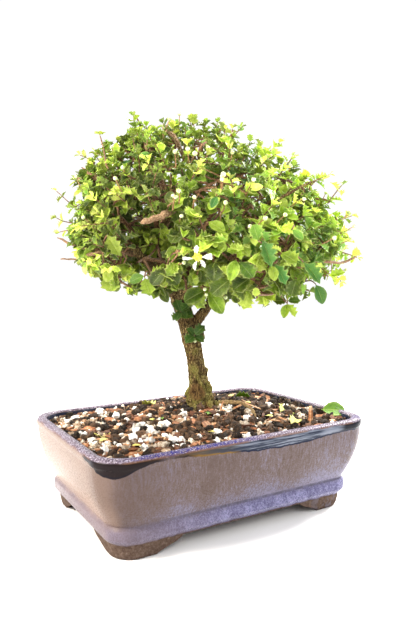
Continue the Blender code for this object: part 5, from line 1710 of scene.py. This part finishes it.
def arch_mesh(half, along_y):
    """The bar that cuts the arch between two feet."""
    outline = [(half, -ARCH_BELOW_FLOOR)]
    for step in range(ARCH_STEPS + 1):
        rise = step / ARCH_STEPS
        outline.append((half - ARCH_SLOPE * (0.5 - 0.5 * math.cos(math.pi * rise)), FOOT_HEIGHT * rise))
    outline += [(-x, z) for x, z in reversed(outline)]
    bm = bmesh.new()
    bmesh.ops.create_circle(bm, segments=len(outline), radius=1, cap_ends=True)
    bm.verts.ensure_lookup_table()
    for vertex, (x, z) in zip(bm.verts, outline):
        start = Vector((x, -ARCH_BAR_HALF, z)) if along_y else Vector((-ARCH_BAR_HALF, x, z))
        vertex.co = POT_MIDDLE + start
    grown = bmesh.ops.extrude_face_region(bm, geom=bm.faces[:])["geom"]
    shift = Vector((0, 2 * ARCH_BAR_HALF, 0)) if along_y else Vector((2 * ARCH_BAR_HALF, 0, 0))
    bmesh.ops.translate(bm, verts=[item for item in grown if isinstance(item, bmesh.types.BMVert)], vec=shift)
    bmesh.ops.recalc_face_normals(bm, faces=bm.faces)
    return mesh_of(bm, "arch")


def drill_mesh(x):
    bm = bmesh.new()
    middle = POT_MIDDLE + Vector((x, 0, FLOOR_TOP))
    bmesh.ops.create_cone(bm, cap_ends=True, segments=40, radius1=DRAIN_RADIUS, radius2=DRAIN_RADIUS,
                          depth=DRILL_LENGTH, matrix=Matrix.Translation(middle))
    return mesh_of(bm, "drill")


def cut_from(mesh, cutters):
    """The mesh with each cutter taken out of it."""
    thing = placed("uncut", mesh)
    tools = []
    for cutter in cutters:
        tool = placed("cutter", cutter)
        modifier = thing.modifiers.new("cut", "BOOLEAN")
        modifier.operation = "DIFFERENCE"
        modifier.solver = "EXACT"
        modifier.object = tool
        tools.append(tool)
    made = with_modifiers(thing)
    for done in (thing, *tools):
        bpy.data.objects.remove(done)
    return made


def pot_rows():
    """The pot's outline as insets and heights: foot, band, wall, lip, inner wall and floor."""
    rows = [(FOOT_INSET + 0.002, 0), (FOOT_INSET + 0.0008, 0.0005), (FOOT_INSET, 0.0022),
            (FOOT_INSET - 0.0008, 0.006), (FOOT_INSET - 0.001, 0.009), (FOOT_INSET - 0.0016, 0.0102),
            (BAND_INSET + 0.0012, BAND_BOTTOM), (BAND_INSET + 0.0003, BAND_BOTTOM + 0.001),
            (BAND_INSET, BAND_BOTTOM + 0.0026), (BAND_INSET, WALL_FOOT - 0.0036),
            (BAND_INSET + 0.0003, WALL_FOOT - 0.0022), (BAND_INSET + 0.0012, WALL_FOOT - 0.001)]
    for level in range(WALL_LEVELS + 1):
        height = WALL_FOOT + (LIP_BOTTOM - WALL_FOOT) * level / WALL_LEVELS
        rows.append((wall_inset(height), height))
    rows += [(0.0003, LIP_BOTTOM + 0.0005), (0, LIP_BOTTOM + 0.0012), (0, 0.0625), (0.00025, 0.0637),
             (0.0008, 0.0646), (0.0016, 0.0652), (0.0026, POT_HEIGHT), (0.0038, POT_HEIGHT), (0.005, 0.0653),
             (0.0058, 0.0648), (0.0063, 0.064), (LIP_WIDTH, 0.063)]
    for height in (LIP_BOTTOM - 0.003, 0.05, 0.042, 0.028, FLOOR_TOP + 0.002):
        rows.append((wall_inset(height) + WALL_THICKNESS, height))
    rows.append((WALL_FOOT_INSET + WALL_THICKNESS + 0.002, FLOOR_TOP))
    return rows


def build_pot():
    mesh = cut_from(raised("pot_body", pot_rows()), [
        arch_mesh(LONG_ARCH_HALF, True), arch_mesh(SHORT_ARCH_HALF, False),
        drill_mesh(-DRAIN_OFFSET), drill_mesh(DRAIN_OFFSET)])
    mesh.shade_smooth()
    mesh.set_sharp_from_angle(angle=math.radians(50))
    for face in mesh.polygons:
        place = face.center - POT_MIDDLE
        depth = 0.5 * WALL_THICKNESS + wall_inset(min(place.z, LIP_BOTTOM))
        inner = FLOOR_TOP < place.z < INNER_GLAZE_TOP and inside_outline(place.x, place.y, depth)
        face.material_index = 1 if inner else 0
    glazes = [PotGlaze().material, inner_glaze_finish()]
    shown(mesh, "glazed_pot", glazes, ["pot"])
    for side in ("left", "right"):
        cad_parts["drain_screen_" + side].data.materials.clear()
        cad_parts["drain_screen_" + side].data.materials.append(SCREEN)


# The soil


def build_soil_bed():
    """The dark bed under the grains: it fills the pot and rises round the trunk."""
    gap = WALL_THICKNESS + 0.0005
    rows = [(WALL_FOOT_INSET + gap + 0.0026, FLOOR_TOP + FIT)]
    rows += [(wall_inset(height) + gap, height) for height in (FLOOR_TOP + 0.0026, 0.028, 0.042)]
    rows += [(LIP_WIDTH + FIT, SOIL_LEVEL - 0.006), (LIP_WIDTH + FIT, SOIL_LEVEL - 0.0014)]
    mesh = raised("soil_bed", rows)
    bm = bmesh.new()
    bm.from_mesh(mesh)
    bpy.data.meshes.remove(mesh)
    for axis, span in ((0, POT_LENGTH), (1, POT_WIDTH)):
        for number in range(1, round(span / BED_STEP)):
            spot = POT_MIDDLE.copy()
            spot[axis] += number * BED_STEP - span / 2
            way = Vector((axis == 0, axis == 1, 0))
            faces = [face for face in bm.faces if face.calc_center_median().z > BED_TOP_FROM]
            edges = {edge for face in faces for edge in face.edges}
            verts = {vertex for face in faces for vertex in face.verts}
            bmesh.ops.bisect_plane(bm, geom=[*verts, *edges, *faces], plane_co=spot, plane_no=way)
    for vertex in bm.verts:
        if vertex.co.z > BED_TOP_FROM:
            inner = inside_outline(vertex.co.x - POT_MIDDLE.x, vertex.co.y - POT_MIDDLE.y, LIP_WIDTH + 0.0015)
            rough = noise.noise(vertex.co * 260) * 0.0011 + noise.noise(vertex.co * 90) * 0.0008
            vertex.co.z = soil_height(vertex.co.x, vertex.co.y) - BED_DROP + (rough if inner else 0)
    bmesh.ops.recalc_face_normals(bm, faces=bm.faces)
    mesh = mesh_of(bm, "soil_bed")
    mesh.shade_smooth()
    mesh.attributes.new("tone", "FLOAT_COLOR", "POINT").data.foreach_set(
        "color", np.tile((0.4, 0.4, 0.0, 1.0), len(mesh.vertices)))
    shown(mesh, "soil_bed", [CLOD_FINISH], ["soil"])


def grain_shapes(rng):
    return {
        "clod": [chunk_shape("clod", rng, 0.84, 0.4, cuts=2) for _ in range(9)],
        "perlite": [chunk_shape("perlite", rng, 0.88, 0.42, 0.8, cuts=2) for _ in range(9)],
        "chip": [chunk_shape("chip", rng, 0.12, 0.3, 0.36) for _ in range(6)],
        "bit": [chunk_shape("bit", rng, 0.3, 0.5, 0.55, cuts=0) for _ in range(8)],
    }


def grain_plan(rng):
    """Each grain's kind and radius, the large ones first or nearly so."""
    plan = []
    for kind, (count, least, largest, *_) in GRAINS.items():
        plan += [(kind, least + (largest - least) * rng.random() ** 1.9) for _ in range(count)]
    plan.sort(key=lambda row: -row[1] * rng.uniform(0.7, 1.3))
    return plan


def free_spot(kind, radius, taken, rng):
    """A place from the pot's middle where a grain of this kind and radius fits, or None after some tries."""
    *_, left_share, right_share, border = GRAINS[kind]
    for _ in range(GRAIN_TRIES):
        x = rng.uniform(-POT_LENGTH / 2, POT_LENGTH / 2)
        y = rng.uniform(-POT_WIDTH / 2, POT_WIDTH / 2)
        if not inside_outline(x, y, LIP_WIDTH + radius * 0.75):
            continue
        spot = POT_MIDDLE + Vector((x, y, 0))
        if math.hypot(spot.x - TRUNK_FOOT.x, spot.y - TRUNK_FOOT.y) < STUMP_RADIUS:
            continue
        if rng.random() < (right_share if x > border else left_share):
            continue
        apart = np.hypot(taken[:, 0] - x, taken[:, 1] - y)
        if not (apart < GRAIN_SPACING * (taken[:, 2] + radius)).any():
            return x, y
    return None


def grain_lie(kind, rng):
    """How a grain is turned and stretched: flat kinds lie nearly level, round ones any way up."""
    turn = Matrix.Rotation(rng.uniform(0, 2 * math.pi), 4, "Z")
    tip_over = rng.gauss(0, 0.5) if kind in ("chip", "bit") else rng.uniform(0, math.pi)
    turn = turn @ Matrix.Rotation(tip_over, 4, "X")
    stretch = Matrix.Diagonal((rng.uniform(0.8, 1.3), rng.uniform(0.75, 1.1), rng.uniform(0.8, 1.1), 1))
    if kind == "chip":
        stretch = Matrix.Diagonal((rng.uniform(1, 1.9), rng.uniform(0.6, 1), 1, 1))
    return turn, stretch


def add_sticks(piece):
    """The broken stick that stands up at the right, and the dry sticks that lie about."""
    foot = on_soil(*BROKEN_STICK, -0.001)
    lean = Vector((0.0006, 0.0004, 0.0125))
    path = [foot, foot + lean * 0.4 + Vector((0.0004, 0, 0)), foot + lean]
    piece.add(THIN_ROD, along_path(path, (0.0021, 0.0018, 0.0013), 0.6), 0, (1, 1, 0))
    for x, y, reach, rise in STICKS:
        foot = on_soil(x, y)
        path = [foot, foot + Vector(reach) * 0.5 + UP * rise, foot + Vector(reach)]
        piece.add(THIN_ROD, along_path(path, (0.0008, 0.0007, 0.0004)), 0, (1, 0.9, 0))


def build_litter(rng):
    litter = Piece("leaf_litter", [FALLEN, FALLEN])
    for x, y, turn, length, age in LITTER:
        foot = on_soil(x, y, LITTER_LIFT)
        spin = Matrix.Rotation(math.radians(turn), 4, "Z") @ Matrix.Rotation(rng.uniform(-0.2, 0.5), 4, "X")
        litter.add(rng.choice(LEAVES["oval"]), Matrix.Translation(foot) @ spin @ Matrix.Scale(length, 4),
                   tone=(age, 0.5, 0.5))
    litter.done("fallen_leaf", "soil")


def build_grains():
    """Coarse grit over the bed: perlite, dark clods, bark chips and tan bits, settled beside each other."""
    rng = random.Random(31)
    shapes = grain_shapes(rng)
    finishes = {"clod": CLOD_FINISH, "perlite": PERLITE_FINISH, "chip": CHIP_FINISH, "bit": BIT_FINISH}
    pieces = {kind: Piece(kind + "_grains", [finishes[kind]]) for kind in GRAINS}
    taken = np.zeros((0, 3))
    for kind, radius in grain_plan(rng):
        found = free_spot(kind, radius, taken, rng)
        if found is None:
            continue
        taken = np.vstack([taken, (*found, radius)])
        spot = on_soil(*found, radius * rng.uniform(-0.1, 0.35))
        turn, stretch = grain_lie(kind, rng)
        pieces[kind].add(rng.choice(shapes[kind]),
                         Matrix.Translation(spot) @ turn @ Matrix.Scale(radius, 4) @ stretch,
                         0, (rng.random(), rng.random(), 0))
    add_sticks(pieces["chip"])
    for piece in pieces.values():
        piece.done("potting_grit", "soil")
    build_litter(rng)


def build_fallen_leaves():
    """The fallen leaves that are nodes of the part. The last, at the pot's right corner, is an oval one."""
    for number, (x, y, turn, length, tilt, roll, age) in enumerate(FALLEN_LEAVES, 1):
        low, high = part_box(f"fallen_leaf_{number}")
        piece = Piece(f"fallen_leaf_{number}_blade", [FALLEN, FALLEN])
        rise = low.z + 0.0004 + 0.26 * length * abs(math.sin(math.radians(roll)))
        foot = POT_MIDDLE + Vector((x, y, rise))
        last = number == len(FALLEN_LEAVES)
        shape = LEAVES["oval"][1] if last else LEAVES[("spiny", "slim", "broad")[number % 3]][0]
        place = Matrix.Translation(foot) @ turned(turn, tilt, roll) @ Matrix.Scale(length, 4)
        piece.add(shape, place, tone=(age, 0.34, 0.5))
        piece.done("fallen_leaf", f"fallen_leaf_{number}")


SCREEN = screen_finish()
CLOD_FINISH = grain_finish("dark_clod", 0.35, (
    (0.36, (0.008, 0.005, 0.003)), (0.56, (0.03, 0.017, 0.01)),
    (0.76, (0.11, 0.06, 0.032))), 0.92, 0.0012, (0.2, 0.12, 0.066))
PERLITE_FINISH = grain_finish("white_perlite", 0.4, (
    (0.3, (0.24, 0.165, 0.105)), (0.43, (0.58, 0.5, 0.4)),
    (0.58, (0.88, 0.86, 0.82))), 0.85, 0.0009, (0.22, 0.14, 0.085))
CHIP_FINISH = grain_finish("bark_chip", 0.3, (
    (0.24, (0.042, 0.016, 0.008)), (0.46, (0.125, 0.046, 0.02)), (0.64, (0.31, 0.12, 0.046)),
    (0.84, (0.56, 0.38, 0.23))), 0.75, 0.0005, (0.1, 0.045, 0.022))
BIT_FINISH = grain_finish("tan_bit", 0.45, (
    (0.3, (0.052, 0.024, 0.011)), (0.54, (0.21, 0.11, 0.05)),
    (0.82, (0.6, 0.43, 0.25))), 0.8, 0.0004)
FALLEN = leaf_finish("fallen_leaf_skin", (
    (0, (0.036, 0.13, 0.005)), (0.35, (0.12, 0.26, 0.01)), (0.7, (0.42, 0.43, 0.07)),
    (1, (0.56, 0.48, 0.13))), 0.18, 0.42, 1)


# Floor, light and camera


def build_stage():
    bm = bmesh.new()
    bmesh.ops.create_grid(bm, x_segments=1, y_segments=1, size=FLOOR_HALF)
    mesh = mesh_of(bm, "floor")
    floor = placed("floor", mesh)
    made = Finish("pale_floor", Roughness=0.55, Specular_IOR_Level=0.3)
    cloud = made.noise(made.in_mm(), 0.012, 2, 0.5)
    made.wear(Base_Color=made.ramp(cloud, (0.3, (0.94, 0.94, 0.94)), (0.7, (0.97, 0.97, 0.97))))
    mesh.materials.append(made.material)

    world = bpy.data.worlds.new("studio")
    bpy.context.scene.world = world
    world.use_nodes = True
    world.node_tree.nodes["Background"].inputs["Color"].default_value = (1, 1, 1, 1)
    world.node_tree.nodes["Background"].inputs["Strength"].default_value = SKY_STRENGTH
    bpy.context.scene.view_settings.view_transform = "Standard"
    aim = POT_MIDDLE + UP * LAMP_AIM_HEIGHT
    for name, place, size, power, colour in LAMPS:
        light = bpy.data.lights.new(name, "AREA")
        light.shape = "DISK"
        light.size = size
        light.energy = power
        light.color = colour
        lamp = placed(name, light)
        lamp.location = POT_MIDDLE + Vector(place)
        lamp.rotation_euler = (aim - lamp.location).to_track_quat("-Z", "Y").to_euler()


def build_camera():
    camera = bpy.data.cameras.new("camera")
    camera.lens = CAMERA_LENS
    camera.clip_start = 0.01
    seen = placed("camera", camera)
    seen.location = POT_MIDDLE + CAMERA_FROM_POT
    turn = CAMERA_AHEAD.to_track_quat("-Z", "Y").to_matrix() @ Matrix.Rotation(CAMERA_ROLL, 3, "Z")
    seen.rotation_euler = turn.to_euler()
    bpy.context.scene.camera = seen


build_camera()
build_stage()
build_pot()
build_soil_bed()
build_grains()
build_wood()
build_crown()
build_sprouts()
build_flower()
build_fallen_leaves()
